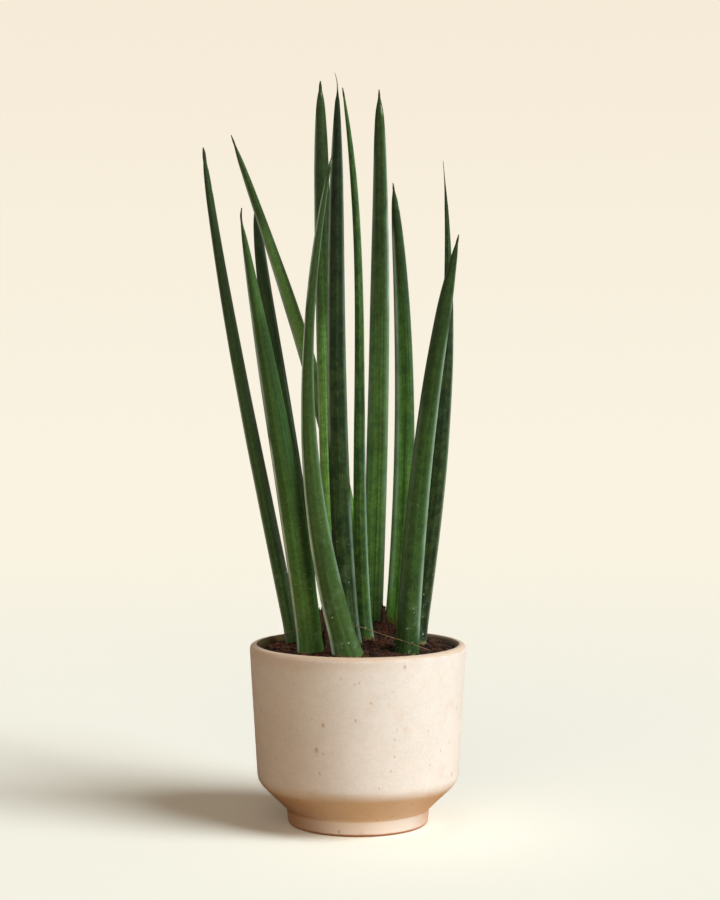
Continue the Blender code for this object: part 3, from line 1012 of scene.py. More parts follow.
def leaf_lines(tree, name, colour, broad, fine, lines, mottle):
    """A leaf's green with its lengthwise streaks and lines and its fine mottle."""
    amount = LINE_AMOUNTS.get(name, 1.0)
    value = ramp(tree, broad, 0.0, 1.0, 0.86, 1.12)
    for streaks, full_at, depth, lift in ((fine, 1.0, 0.22, 0.14), (lines, 0.25, 0.45, 0.0)):
        shade = ramp(tree, streaks, 0.0, full_at, 1 - depth * amount, 1 + lift * amount)
        value = times(tree, value, shade)
    return toned(tree, times(tree, value, ramp(tree, mottle, 0.3, 0.7, 0.78, 1.2)), colour)


def leaf_lime(tree, here, low_down, worn, mottle, film, colour, look):
    """A leaf's skin with its film of lime, scratches, pale dots and scars."""
    film_mask = times(tree, ramp(tree, film, 0.5, 0.76, 0.0, 0.34), low_down)
    colour = blend(tree, film_mask, colour, look.dust)
    ticks = vector_maths(tree, "MULTIPLY", here, SCRATCH_STRETCH)
    scratches = ramp(tree, clouds(tree, ticks, 1.0, 2.0), 0.62, 0.72, 0.0, 0.5)
    scratches = times(tree, scratches, low_down, ramp(tree, worn, 0.42, 0.6))
    colour = blend(tree, scratches, colour, look.dust)
    dots = use_effect(tree, "scattered_specks", here, *PALE_DOTS)["Mask"]
    scar = times(tree, attribute(tree, "scar"), ramp(tree, mottle, 0.3, 0.5))
    pale = maths(tree, "MAXIMUM", times(tree, dots, low_down, 0.85), scar)
    return blend(tree, pale, colour, PALE_MARKS), film_mask


def leaf_ends(tree, name, colour, film, mottle, look):
    """A leaf's skin with its stained foot, its dry tip and its hair."""
    stain = FOOT_STAINS.get(name, USUAL_FOOT_STAIN)
    top = maths(tree, "MULTIPLY_ADD", film, 2.4 * stain, -0.6 * stain)
    low = maths(tree, "SUBTRACT", top, 0.7 * stain)
    stained = ramp(tree, attribute(tree, "from_soil"), low, top, 0.8, 0.0)
    blotches = blend(tree, ramp(tree, mottle, 0.38, 0.52), DARK_STAIN, GREENISH_STAIN)
    colour = blend(tree, stained, colour, blotches)
    dry_end = DRY_ENDS.get(name, USUAL_DRY_END)
    dry = ramp(tree, attribute(tree, "from_tip"), 0.35 * dry_end, dry_end, 0.92, 0.0)
    colour = blend(tree, dry, colour, look.dry)
    return blend(tree, times(tree, attribute(tree, "hair"), 0.85), colour, look.spine), dry


def leaf_material(name, look, base, seed):
    """Waxy ribbed skin, with streaks, cross bands, painted light and shade, pale ridges that are
    partly painted highlights, lime and a dry tip.
    """
    material, tree, shader = start_material(name + "_skin", base)
    here = own_place(tree)
    skin = attribute(tree, "skin_place", "Vector")
    height = parts_of(tree, skin)[2]
    patches = clouds(tree, here, 28.0, 3.0, 0.6)
    mottle = clouds(tree, here, 420.0, 4.0, 0.7)
    worn = clouds(tree, here, 55.0, 4.0, 0.6)
    film = clouds(tree, here, 130.0, 6.0, 0.7)
    broad, fine, lines = [
        use_effect(tree, "lengthwise_streaks", skin, count, run, seed + more)["Streaks"]
        for count, run, more in LEAF_STREAKS]
    colour = leaf_green(tree, name, look, base, height, patches)
    colour = leaf_lines(tree, name, colour, broad, fine, lines, mottle)

    bands = BAND_AMOUNTS.get(name, USUAL_BANDS)
    across = vector_maths(tree, "MULTIPLY", skin, BAND_STRETCH)
    across = vector_maths(tree, "ADD", across, (seed, seed, seed))
    band = ramp(tree, clouds(tree, across, 1.0, 3.0, 0.55), 0.42, 0.6)
    colour = tinted(tree, times(tree, band, 0.85 * bands), colour, BAND_TINT)
    spots = use_effect(tree, "scattered_specks", here, *BAND_SPOTS)["Mask"]
    colour = tinted(tree, times(tree, spots, 0.95 * bands), colour, SPOT_TINT)
    wear = ramp(tree, worn, 0.3, 0.6, 0.55, 1.0)
    # Pale ridges: the skin's own pale margin and painted highlight
    colour = blend(tree, times(tree, attribute(tree, "ridge_and_highlight"), wear), colour, look.margin)
    low_down = ramp(tree, height, SOIL_EDGE_HEIGHT, SOIL_EDGE_HEIGHT + LIME_REACH, 1.0, 0.0)
    colour, limed = leaf_lime(tree, here, low_down, worn, mottle, film, colour, look)
    colour, dry = leaf_ends(tree, name, colour, film, mottle, look)

    rough = ramp(tree, patches, 0.35, 0.65, 0.42, 0.54)
    rough = maths(tree, "ADD", rough, times(tree, limed, 0.4))
    rough = maths(tree, "ADD", rough, times(tree, dry, 0.25))
    fill(tree, shader, {
        "Base Color": colour,
        "Roughness": rough,
        "Coat Weight": times(tree, attribute(tree, "wax"), wear),
        "Coat Roughness": 0.35,
        "Specular IOR Level": 0.12,
        "Sheen Weight": 0.08,
        "Sheen Roughness": 0.25,
        "Sheen Tint": (0.52, 0.85, 0.60, 1.0),
        "Normal": relief(tree, (broad, 0.25, 0.25 * MM), (fine, 0.3, 0.12 * MM),
                         (film, 0.15, 0.15 * MM), (band, 0.25 * bands, 0.12 * MM)),
    })
    return material


def peat_material(name, colour, fibre, contrast):
    """Moist peat, patchy and rough, with a little fibre through it, with painted shade towards the
    right and in the bed's hollows.
    """
    material, tree, shader = start_material(name, colour)
    here = own_place(tree)
    mixed, patches = use_effect(tree, "uneven_tone", here, 480.0, contrast, whole_colour(colour))
    threads = clouds(tree, here, 700.0, 4.0, 0.7, 1.6)
    mixed = blend(tree, ramp(tree, threads, 0.58, 0.72, 0.0, 0.5), mixed, fibre)
    heaps = clouds(tree, here, 170.0, 3.0, 0.6)
    # The stored tone: each crumb's own at random, and on the bed painted shade in the hollows
    value = maths(tree, "MULTIPLY_ADD", attribute(tree, "tone"), 1.3, 0.12)
    # Painted shade: darker towards the right of the pot, lighter towards the left
    value = times(tree, value, ramp(tree, heaps, 0.36, 0.62, 0.35, 1.3),
                  ramp(tree, parts_of(tree, here)[0], -50 * MM, 50 * MM, 1.35, 0.6))
    grit = clouds(tree, here, 1500.0, 4.0, 0.7)
    fill(tree, shader, {
        "Base Color": toned(tree, value, mixed),
        "Roughness": ramp(tree, patches, 0.3, 0.7, 0.8, 0.98),
        "Specular IOR Level": 0.25,
        "Normal": relief(tree, (patches, 0.5, 0.5 * MM), (grit, 0.6, 0.25 * MM)),
    })
    return material


def dry_material(name, colour, contrast):
    """Dry plant matter, streaky and dull."""
    material, tree, shader = start_material(name, colour)
    here = own_place(tree)
    mixed, patches = use_effect(tree, "uneven_tone", here, 420.0, contrast, whole_colour(colour))
    stains = ramp(tree, clouds(tree, here, 260.0, 5.0, 0.7), 0.42, 0.66, 0.0, 0.75)
    mixed = blend(tree, stains, mixed, tuple(channel * 0.3 for channel in colour))
    drawn = vector_maths(tree, "MULTIPLY", here, STRAND_STRETCH)
    strands = ramp(tree, clouds(tree, drawn, 1.0, 3.0, 0.6), 0.35, 0.65, 0.45, 1.7)
    fill(tree, shader, {
        "Base Color": toned(tree, strands, mixed),
        "Roughness": ramp(tree, patches, 0.3, 0.7, 0.6, 0.9),
        "Specular IOR Level": 0.3,
        "Normal": relief(tree, (patches, 0.5, 0.2 * MM)),
    })
    return material


def backdrop_material(look):
    """Painted board, lit near the pot and evenly bright far off. Its bounces have own colours."""
    material, tree, shader = start_material("backdrop_board", look.backdrop)
    here = own_place(tree)
    side, _, height = parts_of(tree, here)
    paint = use_effect(tree, "uneven_tone", here, 1.3, 0.02, whole_colour(look.backdrop))["Colour"]
    far = ramp(tree, from_axis(tree, here), 0.35, 0.9 * FLOOR_SPREAD)
    watched = place(tree, "ShaderNodeLightPath").outputs["Is Camera Ray"]
    lit_side = ramp(tree, side, -RIM_RADIUS, RIM_RADIUS)
    board = blend(tree, watched, blend(tree, lit_side, look.dim_bounce, look.bounce), paint)
    lift = blend(tree, watched, (0.0, 0.0, 0.0), (0.05, 0.045, 0.035))
    glow = blend(tree, ramp(tree, height, 0.0, 1.2), look.floor_glow, look.wall_glow)
    fill(tree, shader, {
        "Base Color": blend(tree, far, board, (0.0, 0.0, 0.0)),
        "Emission Color": blend(tree, far, lift, glow),
        "Emission Strength": 1.0,
        "Roughness": 1.0,
        "Specular IOR Level": 0.0,
    })
    return material


# Pot

def heading(start, end):
    """Angle of the line from one point of an outline to another."""
    return math.atan2(end[1] - start[1], end[0] - start[0])


def wrapped(angle):
    """The same angle, between minus and plus half a turn."""
    return (angle + math.pi) % (2 * math.pi) - math.pi


def rounded_outline(corners, steps):
    """Points of an outline of corners, each with its radius, height and round."""
    points = []
    for k, (x, z, radius) in enumerate(corners):
        if not radius:
            points.append((x, z))
            continue
        back = heading((x, z), corners[k - 1])
        ahead = heading((x, z), corners[k + 1])
        half = wrapped(ahead - back) / 2
        reach = radius / abs(math.sin(half))
        centre_x = x + reach * math.cos(back + half)
        centre_z = z + reach * math.sin(back + half)
        side = math.copysign(math.pi / 2, math.sin(2 * half))
        start = back - side
        turn = wrapped(ahead + side - start)
        for i in range(steps + 1):
            angle = start + turn * i / steps
            points.append((centre_x + radius * math.cos(angle),
                           centre_z + radius * math.sin(angle)))
    return points


def wall_lean():
    """How far the pot's wall leans out for each metre of its height."""
    return (RIM_RADIUS - SHOULDER_RADIUS) / (POT_HEIGHT - SHOULDER_HEIGHT)


def inner_radius(height):
    """Radius of the pot's leaning inner wall at a height."""
    return INNER_RIM_RADIUS - (POT_HEIGHT - height) * wall_lean()


def pot_outline():
    """The pot's outline, from the middle of its underside to the middle of its floor."""
    shoulder = SHOULDER_HEIGHT + WALL / 2
    corners = (
        (0.0, 0.0, 0),
        (FOOT_BOTTOM_RADIUS, 0.0, FOOT_ROUND),
        (FOOT_TOP_RADIUS, FOOT_HEIGHT, FOOT_FILLET),
        (SHOULDER_RADIUS, SHOULDER_HEIGHT, SHOULDER_ROUND),
        (RIM_RADIUS, POT_HEIGHT, LIP_ROUND),
        (INNER_RIM_RADIUS, POT_HEIGHT, LIP_ROUND),
        (inner_radius(shoulder), shoulder, INNER_SHOULDER_ROUND),
        (FLOOR_RADIUS, FLOOR_THICKNESS, 0),
        (0.0, FLOOR_THICKNESS, 0),
    )
    return rounded_outline(corners, POT_CORNER_STEPS)


def fine_outline(points, step):
    """The outline with points no further apart than a step, without its two ends."""
    made = []
    for start, end in zip(points, points[1:]):
        parts = max(1, math.ceil(math.dist(start, end) / step))
        for i in range(parts):
            part = i / parts
            made.append((start[0] + (end[0] - start[0]) * part,
                         start[1] + (end[1] - start[1]) * part))
    return made[1:]


def turn_outline(outline, sides, shrink=lambda x, y, z: 0.0):
    """Rings of an outline turned about the Z axis, drawn in by a function of the place."""
    rings = []
    for radius, height in outline:
        ring = []
        for i in range(sides):
            angle = 2 * math.pi * i / sides
            x = radius * math.cos(angle)
            y = radius * math.sin(angle)
            drawn = 1 - shrink(x, y, height) / radius
            ring.append((x * drawn, y * drawn, height))
        rings.append(ring)
    return rings


def hand_shrink(x, y, z):
    """How far the hand-turned wall falls short of a true circle."""
    wave = lump(x, y, z, HAND_UNEVENNESS_SPACING, 4.2)
    return HAND_UNEVENNESS * (0.5 + 0.5 * wave)


# Leaves

def leaf_rings(name):
    """Heights and rings of a leaf's solid, each ring with its points in order from the groove."""
    corners = np.array([vertex.co for vertex in frame["nodes"][name].data.vertices])
    corners = np.unique(corners.round(6), axis=0)
    heights = []
    rings = []
    groove = None
    for height in np.unique(corners[:, 2].round(5)):
        ring = corners[np.abs(corners[:, 2] - height) < 2e-5]
        if len(ring) != RING_POINTS:
            continue
        offsets = ring[:, :2] - ring[:, :2].mean(axis=0)
        if groove is None:
            deepest = offsets[np.argmin(np.hypot(offsets[:, 0], offsets[:, 1]))]
            groove = math.atan2(deepest[1], deepest[0])
        angles = np.arctan2(offsets[:, 1], offsets[:, 0]) - groove
        angles = (angles + 0.1) % (2 * math.pi)
        heights.append(height)
        rings.append(ring[np.argsort(angles)])
    return np.array(heights), np.array(rings)


LEAF_RINGS = {name: leaf_rings(name) for name in LEAF_NAMES}


def leaf_top(name):
    """Height of a leaf's topmost ring."""
    return LEAF_RINGS[name][1][-1, 0, 2]


def leaf_at(name, height):
    """Centre and radius of a leaf at a height."""
    heights, rings = LEAF_RINGS[name]
    ring = smooth_rows(heights, rings, [height])[0]
    centre = ring.mean(axis=0)
    return centre, float(np.hypot(*(ring - centre)[:, :2].T).mean())


def around(rings, sides):
    """Rings with more sides, on smooth curves through their points."""
    count = rings.shape[1]
    spare = 3
    ids = np.arange(-spare, count + spare + 1)
    wide = rings[:, ids % count]
    at = np.arange(sides) * count / sides
    return smooth_rows(ids, wide.transpose(1, 0, 2), at).transpose(1, 0, 2)


def groove_angles(sides):
    """Angle from the groove of each point of a ring, between minus and plus half a turn."""
    return np.array([wrapped(2 * math.pi * i / sides) for i in range(sides)])


def leaf_skin(name):
    """Fine rings of a leaf's skin, from its foot to its tip."""
    heights, rings = LEAF_RINGS[name]
    at = np.interp(np.linspace(0, len(heights) - 1, SKIN_LEVELS), range(len(heights)), heights)
    return around(smooth_rows(heights, rings, at), SKIN_SIDES)


def outward(rings):
    """Level directions that point out of each ring."""
    centres = rings.mean(axis=1, keepdims=True)
    away = rings - centres
    away[:, :, 2] = 0
    return away / np.linalg.norm(away, axis=2, keepdims=True)


def marks(strips, headings, heights):
    """How strongly a leaf's points are marked by strips that run along it."""
    total = np.zeros(len(headings))
    for heading_at, half_width, strength, low, high in strips:
        away = (headings - heading_at + 180) % 360 - 180
        fade = min(MARK_FADE, (high - low) / 3)
        start = np.clip((heights - low) / fade, 0, 1)
        end = np.clip((high - heights) / fade, 0, 1)
        total += strength * np.exp(-(away / half_width) ** 2) * start * end
    return np.clip(total, 0, 1)


def tip_stretch(name, girths, below_tip):
    """How much wider or thinner than the solid a leaf's rings are, so that its tip ends well."""
    if name in PALE_SPINES:
        return SPINE_THINNING + (1 - SPINE_THINNING) * np.clip(girths / SPINE_GIRTH, 0, 1) ** 2
    blunt = BLUNT_TIPS.get(name, 0.0) * np.sqrt(np.clip(below_tip / BLUNT_LENGTH, 0, 1))
    return np.maximum(1.0, blunt / girths)


def leaf_shape(name, angles, seed):
    """A leaf's fine rings with ribs, soft waves and a finished tip, their outward directions
    and their girths."""
    rings = leaf_skin(name)
    out = outward(rings)
    tip_height = rings[-1, 0, 2]
    foot_height = rings[0, 0, 2]
    part = (rings[:, :, 2] - foot_height) / (tip_height - foot_height)
    fade = np.clip((1 - part) * RIBS_END, 0, 1)
    ribs = np.cos(FINE_RIBS * angles)[None, :] * FINE_RIB_HEIGHT
    waves = np.empty(rings.shape[:2])
    for row in range(SKIN_LEVELS):
        for i in range(SKIN_SIDES):
            x, y, z = rings[row, i]
            waves[row, i] = lump(x, y, z / 3, SKIN_WAVE_SPACING, seed)
    swell = (ribs + SKIN_WAVE * waves) * fade
    rings = rings + out * swell[:, :, None]
    centres = rings.mean(axis=1, keepdims=True)
    girths = np.linalg.norm((rings - centres)[:, :, :2], axis=2).mean(axis=1)
    stretch = tip_stretch(name, girths, tip_height - centres[:, 0, 2])
    rings[:, :, :2] = (centres + (rings - centres) * stretch[:, None, None])[:, :, :2]
    # Nothing passes the frame's own box
    return np.clip(rings, *frame_box), out, girths


def make_leaf(name, look, seed):
    """Replace one leaf's solid with its fine skin, and store where its marks are."""
    angles = groove_angles(SKIN_SIDES)
    rings, out, girths = leaf_shape(name, angles, seed)
    points, faces = closed_skin(rings)
    shades = {"deep_green_leaf": look.deep, "middle_green_leaf": look.middle,
              "bright_green_leaf": look.bright}
    base = tuple(shades[LEAF_SLOTS[name]])
    material = leaf_material(name, look, base, seed)
    piece = add_piece(name + "_skin", points, faces, material, (name,))

    own = np.array(points)
    heights = own[:, 2] / MM
    columns = np.append(np.tile(angles, SKIN_LEVELS), [0.0, 0.0])
    headings = np.degrees(np.arctan2(out[:, :, 1], out[:, :, 0])).ravel()
    headings = np.append(headings, [0.0, 0.0])
    foot, _ = leaf_at(name, SOIL_EDGE_HEIGHT)
    hair = np.repeat(np.clip(1.5 - girths / PALE_HAIR_GIRTH, 0, 1), SKIN_SIDES)
    # The wax shines on the ridges that face left
    left_ridges = [strip for strip in PALE_RIDGES_AND_HIGHLIGHTS[name] if strip[0] > 90]
    stored = {
        "skin_place": np.stack([np.cos(columns), np.sin(columns), own[:, 2]], axis=1),
        "from_tip": leaf_top(name) - own[:, 2],
        "from_soil": own[:, 2] - soil_height(foot[0], foot[1]),
        "ridge_and_highlight": marks(PALE_RIDGES_AND_HIGHLIGHTS[name], headings, heights),
        # Where the strips of painted light and painted shade lie
        "painted_light": marks(PAINTED_LIGHT_STRIPS.get(name, ()), headings, heights),
        "shade": marks(SHADE_STRIPS.get(name, ()), headings, heights),
        "scar": marks(SCARS.get(name, ()), headings, heights),
        "wax": marks(left_ridges, headings, heights),
        "hair": np.append(hair, [0.0, 1.0]) * (name in PALE_SPINES),
    }
    for attribute_name, values in stored.items():
        add_attribute(piece, attribute_name, values)
    return piece


# Soil

def soil_height(x, y):
    """Height of the heaped soil, without its lumps."""
    height = SOIL_EDGE_HEIGHT
    for heap_x, heap_y, rise, spread in SOIL_HEAPS:
        away = math.hypot(x - heap_x, y - heap_y)
        height += rise * math.exp(-away ** 2 / (2 * spread ** 2))
    return height


def leaf_feet():
    """Where each leaf stands in the soil: x, y and radius."""
    feet = []
    for name in LEAF_NAMES:
        centre, _ = leaf_at(name, SOIL_EDGE_HEIGHT)
        centre, radius = leaf_at(name, soil_height(centre[0], centre[1]))
        feet.append((centre[0], centre[1], radius))
    return feet


LEAF_FEET = leaf_feet()


def from_leaves(x, y):
    """Distance from the nearest leaf's skin, at the soil."""
    return min(math.hypot(x - foot_x, y - foot_y) - radius for foot_x, foot_y, radius in LEAF_FEET)


def soil_surface(x, y):
    """Height of the lumpy soil, gathered up a little round the leaves."""
    height = soil_height(x, y)
    for k, (spacing, rise) in enumerate(SOIL_LUMPS):
        height += rise * lump(x, y, 0.0, spacing, 1.7 * k)
    away = max(from_leaves(x, y), 0.0)
    return height + SOIL_COLLAR * math.exp(-away / SOIL_COLLAR_SPREAD)


def soil_skin():
    """Rings of the soil's plug, from its underside up its side and in over its surface."""
    shoulder = SHOULDER_HEIGHT + WALL / 2
    corners = (
        (0.0, FLOOR_THICKNESS + SOIL_GAP, 0),
        (FLOOR_RADIUS - SOIL_GAP, FLOOR_THICKNESS + SOIL_GAP, 0),
        (inner_radius(shoulder) - SOIL_GAP, shoulder, INNER_SHOULDER_ROUND),
        (inner_radius(SOIL_EDGE_HEIGHT) - SOIL_GAP, SOIL_EDGE_HEIGHT - SOIL_LUMPS[0][1], 0),
    )
    outline = fine_outline(rounded_outline(corners, SOIL_CORNER_STEPS), SOIL_SIDE_STEP)
    rings = turn_outline(outline, SOIL_SIDES)
    edge = inner_radius(SOIL_EDGE_HEIGHT) - SOIL_GAP
    for k in range(SOIL_RINGS):
        radius = edge * (1 - k / SOIL_RINGS)
        ring = []
        for i in range(SOIL_SIDES):
            angle = 2 * math.pi * i / SOIL_SIDES
            x = radius * math.cos(angle)
            y = radius * math.sin(angle)
            ring.append((x, y, soil_surface(x, y)))
        rings.append(ring)
    return closed_skin(rings)


def make_soil_bed(look):
    """Replace the soil's solid with its lumpy bed."""
    points, faces = soil_skin()
    material = peat_material("moist_peat", look.peat, look.fibre, 0.55)
    piece = add_piece("soil_bed", points, faces, material, ("soil",))
    # Painted shade: the bed is darker in the hollows between its lumps
    tones = []
    for x, y, z in points:
        hollow = (z - soil_height(x, y)) / (3 * MM)
        tones.append(min(max(0.5 + hollow, 0.1), 1.0))
    add_attribute(piece, "tone", tones)
    return piece


def crumb_shape():
    """Points and faces of a small round ball that crumbs are made from."""
    ball = bmesh.new()
    bmesh.ops.create_icosphere(ball, subdivisions=2, radius=1.0)
    points = [vertex.co.copy() for vertex in ball.verts]
    faces = [tuple(vertex.index for vertex in face.verts) for face in ball.faces]
    ball.free()
    return points, faces


def soil_spot(chance, clear):
    """A random place on the soil, clear of the leaves and of the pot's wall."""
    edge = inner_radius(SOIL_EDGE_HEIGHT) - SOIL_GAP - clear
    while True:
        angle = chance.uniform(0, 2 * math.pi)
        radius = edge * math.sqrt(chance.random())
        x = radius * math.cos(angle)
        y = radius * math.sin(angle)
        if from_leaves(x, y) > clear:
            return x, y


def make_crumbs(look):
    """Strew loose crumbs of peat and bark over the soil."""
    chance = random.Random(CRUMB_SEED)
    ball, ball_faces = crumb_shape()
    skins = []
    tones = []
    for _ in range(look.crumbs):
        size = (0.35 + 1.35 * chance.random() ** 2.5) * MM
        x, y = soil_spot(chance, size)
        centre = Vector((x, y, soil_surface(x, y) + 0.25 * size))
        shape = [chance.uniform(0.7, 1.25), chance.uniform(0.6, 1.1), chance.uniform(0.45, 0.8)]
        turn = chance.uniform(0, 2 * math.pi)
        seed = chance.uniform(0, 50)
        points = []
        for point in ball:
            rough = 1 + 0.55 * lump(point.x, point.y, point.z, 0.9, seed)
            rough += 0.25 * lump(point.x, point.y, point.z, 0.4, seed)
            x = point.x * shape[0] * size * rough
            y = point.y * shape[1] * size * rough
            turned_x = x * math.cos(turn) - y * math.sin(turn)
            turned_y = x * math.sin(turn) + y * math.cos(turn)
            away = Vector((turned_x, turned_y, point.z * shape[2] * size * rough))
            points.append(tuple(centre + away))
        skins.append((points, ball_faces))
        tones.append(chance.choice((0.05, 0.15, 0.4, 0.7, 1.4)))
    points, faces, counts = join_skins(skins)
    material = peat_material("loose_crumbs", look.peat, look.fibre, 0.7)
    piece = add_piece("soil_crumbs", points, faces, material)
    add_attribute(piece, "tone", np.repeat(tones, counts))
    return piece


def fibre_route(chance, x, y, length, lift):
    """Route of a curly fibre over the soil, or nothing if it would run into a leaf."""
    steps = 12
    angle = chance.uniform(0, 2 * math.pi)
    bend = chance.uniform(-0.9, 0.9)
    edge = inner_radius(SOIL_EDGE_HEIGHT) - 1.2 * MM
    route = []
    for k in range(steps + 1):
        if from_leaves(x, y) < 0.4 * MM or math.hypot(x, y) > edge:
            return []
        arch = math.sin(math.pi * k / steps)
        height = soil_height(x, y) + 0.9 * MM + lift * arch
        height += 0.5 * MM * lump(x, y, 0.0, 4 * MM, length * 1000)
        route.append((x, y, height))
        angle += bend / steps + chance.uniform(-0.12, 0.12)
        x += math.cos(angle) * length / steps
        y += math.sin(angle) * length / steps
    return route


def make_fibres(look):
    """Lay thin curly coir fibres over the soil."""
    chance = random.Random(FIBRE_SEED)
    skins = []
    while len(skins) < look.fibres:
        x, y = soil_spot(chance, 0.5 * MM)
        length = chance.uniform(3, 14) * MM
        lift = chance.uniform(0.0, 1.6) * MM
        route = fibre_route(chance, x, y, length, lift)
        if route:
            thickness = (0.1 + 0.32 * chance.random() ** 4) * MM
            skins.append(closed_skin(tube(route, thickness, 5, 0.6)))
    return add_dry_piece("soil_fibres", skins, "coir_fibre", look.fibre, 0.5)


# Dry matter

def withered_skin(x, y, height, width, lean, chance):
    """A withered leaf sheath that stands in the soil: a curled, ribbed strip with a torn top."""
    seed = chance.uniform(0, 40)
    facing = chance.uniform(-0.5, 0.5)
    foot = soil_height(x, y) - SHEATH_SINK
    inner = []
    outer = []
    for row in range(SHEATH_ROWS):
        up = row / (SHEATH_ROWS - 1)
        for i in range(SHEATH_COLUMNS):
            across = 2 * i / (SHEATH_COLUMNS - 1) - 1
            tear = 0.85 + 0.2 * lump(across * 2.4, seed, 0.0, 1.0)
            tear += 0.1 * lump(across * 9, seed, 0.0, 1.0)
            z = foot + up * (height + SHEATH_SINK) * max(tear * (1 - 0.12 * across ** 2), 0.3)
            half = width / 2 * (1 - 0.4 * up ** 2) * (1 + 0.3 * lump(up * 6, seed, 0.0, 1.0))
            curl = 1.5 * across + facing
            sway = lean * up + 0.8 * MM * up * lump(up * 1.6, seed, 2.0, 1.0)
            ripple = 0.16 * MM * math.sin(across * 11)
            ripple += 0.2 * MM * lump(across * 3, up * 14, seed, 1.0)
            radius = half + ripple
            for side, reach in ((inner, radius), (outer, radius + SHEATH_THICKNESS)):
                side.append((x + sway + reach * math.sin(curl), y - reach * math.cos(curl), z))
    return inner + outer, shell_faces(SHEATH_ROWS, SHEATH_COLUMNS)


def make_withered(look):
    """Stand the withered sheaths between the leaves."""
    chance = random.Random(SHEATH_SEED)
    skins = [withered_skin(*sheath, chance) for sheath in WITHERED]
    return add_dry_piece("withered_sheaths", skins, "withered_sheath", look.sheath, 0.6)


def make_dry_stem(look):
    """Lay the long dry stem across the front of the leaves."""
    route = np.array(DRY_STEM_ROUTE) * MM
    lengths = np.append(0.0, np.cumsum(np.linalg.norm(np.diff(route, axis=0), axis=1)))
    fine = smooth_rows(lengths, route, np.linspace(0, lengths[-1], DRY_STEM_STEPS))
    for point in fine:
        point[2] += DRY_STEM_WAVE * lump(point[0], point[1], 0.0, DRY_STEM_WAVE_SPACING, 3.0)
    skins = [closed_skin(tube(fine, DRY_STEM_THICKNESS, 10, 0.35))]
    return add_dry_piece("dry_stem", skins, "dry_stem", look.stem, 0.35)


def husk_skin(leaf, middle, half_width, height, chance):
    """A thin papery shell against the foot of a leaf, with a worn upper edge."""
    seed = chance.uniform(0, 40)
    centre, _ = leaf_at(leaf, SOIL_EDGE_HEIGHT)
    foot = soil_height(centre[0], centre[1]) - HUSK_SINK
    heights, rings = LEAF_RINGS[leaf]
    spots = []
    for row in range(HUSK_ROWS):
        up = row / (HUSK_ROWS - 1)
        for i in range(HUSK_COLUMNS):
            across = i / (HUSK_COLUMNS - 1)
            tear = 0.75 + 0.35 * lump(across * 4, seed, 0.0, 1.0)
            tear += 0.22 * lump(across * 16, seed, 0.0, 1.0)
            rise = math.sin(math.pi * (0.04 + 0.92 * across)) ** 0.5
            turn = middle + half_width * (2 * across - 1)
            column = round(turn * HUSK_SIDES) % HUSK_SIDES
            spots.append((foot + (HUSK_SINK + height * rise * max(tear, 0.2)) * up, column, up))
    sections = around(smooth_rows(heights, rings, [spot[0] for spot in spots]), HUSK_SIDES)
    away = outward(sections)
    inner = []
    outer = []
    for k, (_, column, up) in enumerate(spots):
        gap = HUSK_GAP + 0.25 * MM * up * max(0.0, lump(column * 0.2, up * 3, seed, 1.0))
        thick = HUSK_THICKNESS * (1.3 - up)
        inner.append(tuple(sections[k, column] + away[k, column] * gap))
        outer.append(tuple(sections[k, column] + away[k, column] * (gap + thick)))
    return inner + outer, shell_faces(HUSK_ROWS, HUSK_COLUMNS)


def shell_faces(rows, columns):
    """Faces of a thin shell: its inner grid, its outer grid and the edge between them."""
    faces = []
    shift = rows * columns
    for row in range(rows - 1):
        for i in range(columns - 1):
            low = row * columns + i
            high = low + columns
            faces.append((low + shift, low + 1 + shift, high + 1 + shift, high + shift))
            faces.append((low + 1, low, high, high + 1))
    rim = list(range(columns))
    rim += [row * columns + columns - 1 for row in range(1, rows)]
    rim += [(rows - 1) * columns + i for i in reversed(range(columns - 1))]
    rim += [row * columns for row in reversed(range(1, rows - 1))]
    for start, end in zip(rim, rim[1:] + rim[:1]):
        faces.append((start, end, end + shift, start + shift))
    return faces


def make_husks(look):
    """Wrap torn papery husks round the feet of some leaves."""
    chance = random.Random(HUSK_SEED)
    skins = [husk_skin(*husk, chance) for husk in HUSKS]
    return add_dry_piece("leaf_husks", skins, "papery_husk", look.husk, 0.7)


def make_tufts(look):
    """Stand tufts of dry root hair between the leaves."""
    chance = random.Random(ROOT_HAIR_SEED)
    skins = []
    for x, y, height, spread, count in TUFTS:
        for _ in range(count):
            start = Vector((x + chance.gauss(0, spread), y + chance.gauss(0, spread), 0))
            lean = Vector((chance.uniform(-0.35, 0.35), chance.uniform(-0.35, 0.35), 1))
            lean.normalize()
            length = height * chance.uniform(0.4, 1.0)
            start.z = soil_height(start.x, start.y) - 2 * MM
            seed = chance.uniform(0, 50)
            route = []
            for k in range(ROOT_HAIR_STEPS + 1):
                part = k / ROOT_HAIR_STEPS
                point = start + lean * length * part
                point.x += ROOT_HAIR_WAVE * part * lump(part * 2, seed, 0.0, 1.0)
                point.y += ROOT_HAIR_WAVE * part * lump(part * 2, 0.0, seed, 1.0)
                route.append(point)
            if min(from_leaves(point.x, point.y) for point in route) > 0.1 * MM:
                thickness = chance.uniform(0.1, 0.26) * MM
                skins.append(closed_skin(tube(route, thickness, 5, 0.7)))
    return add_dry_piece("root_tufts", skins, "root_hair", look.fibre, 0.5)


# Stage

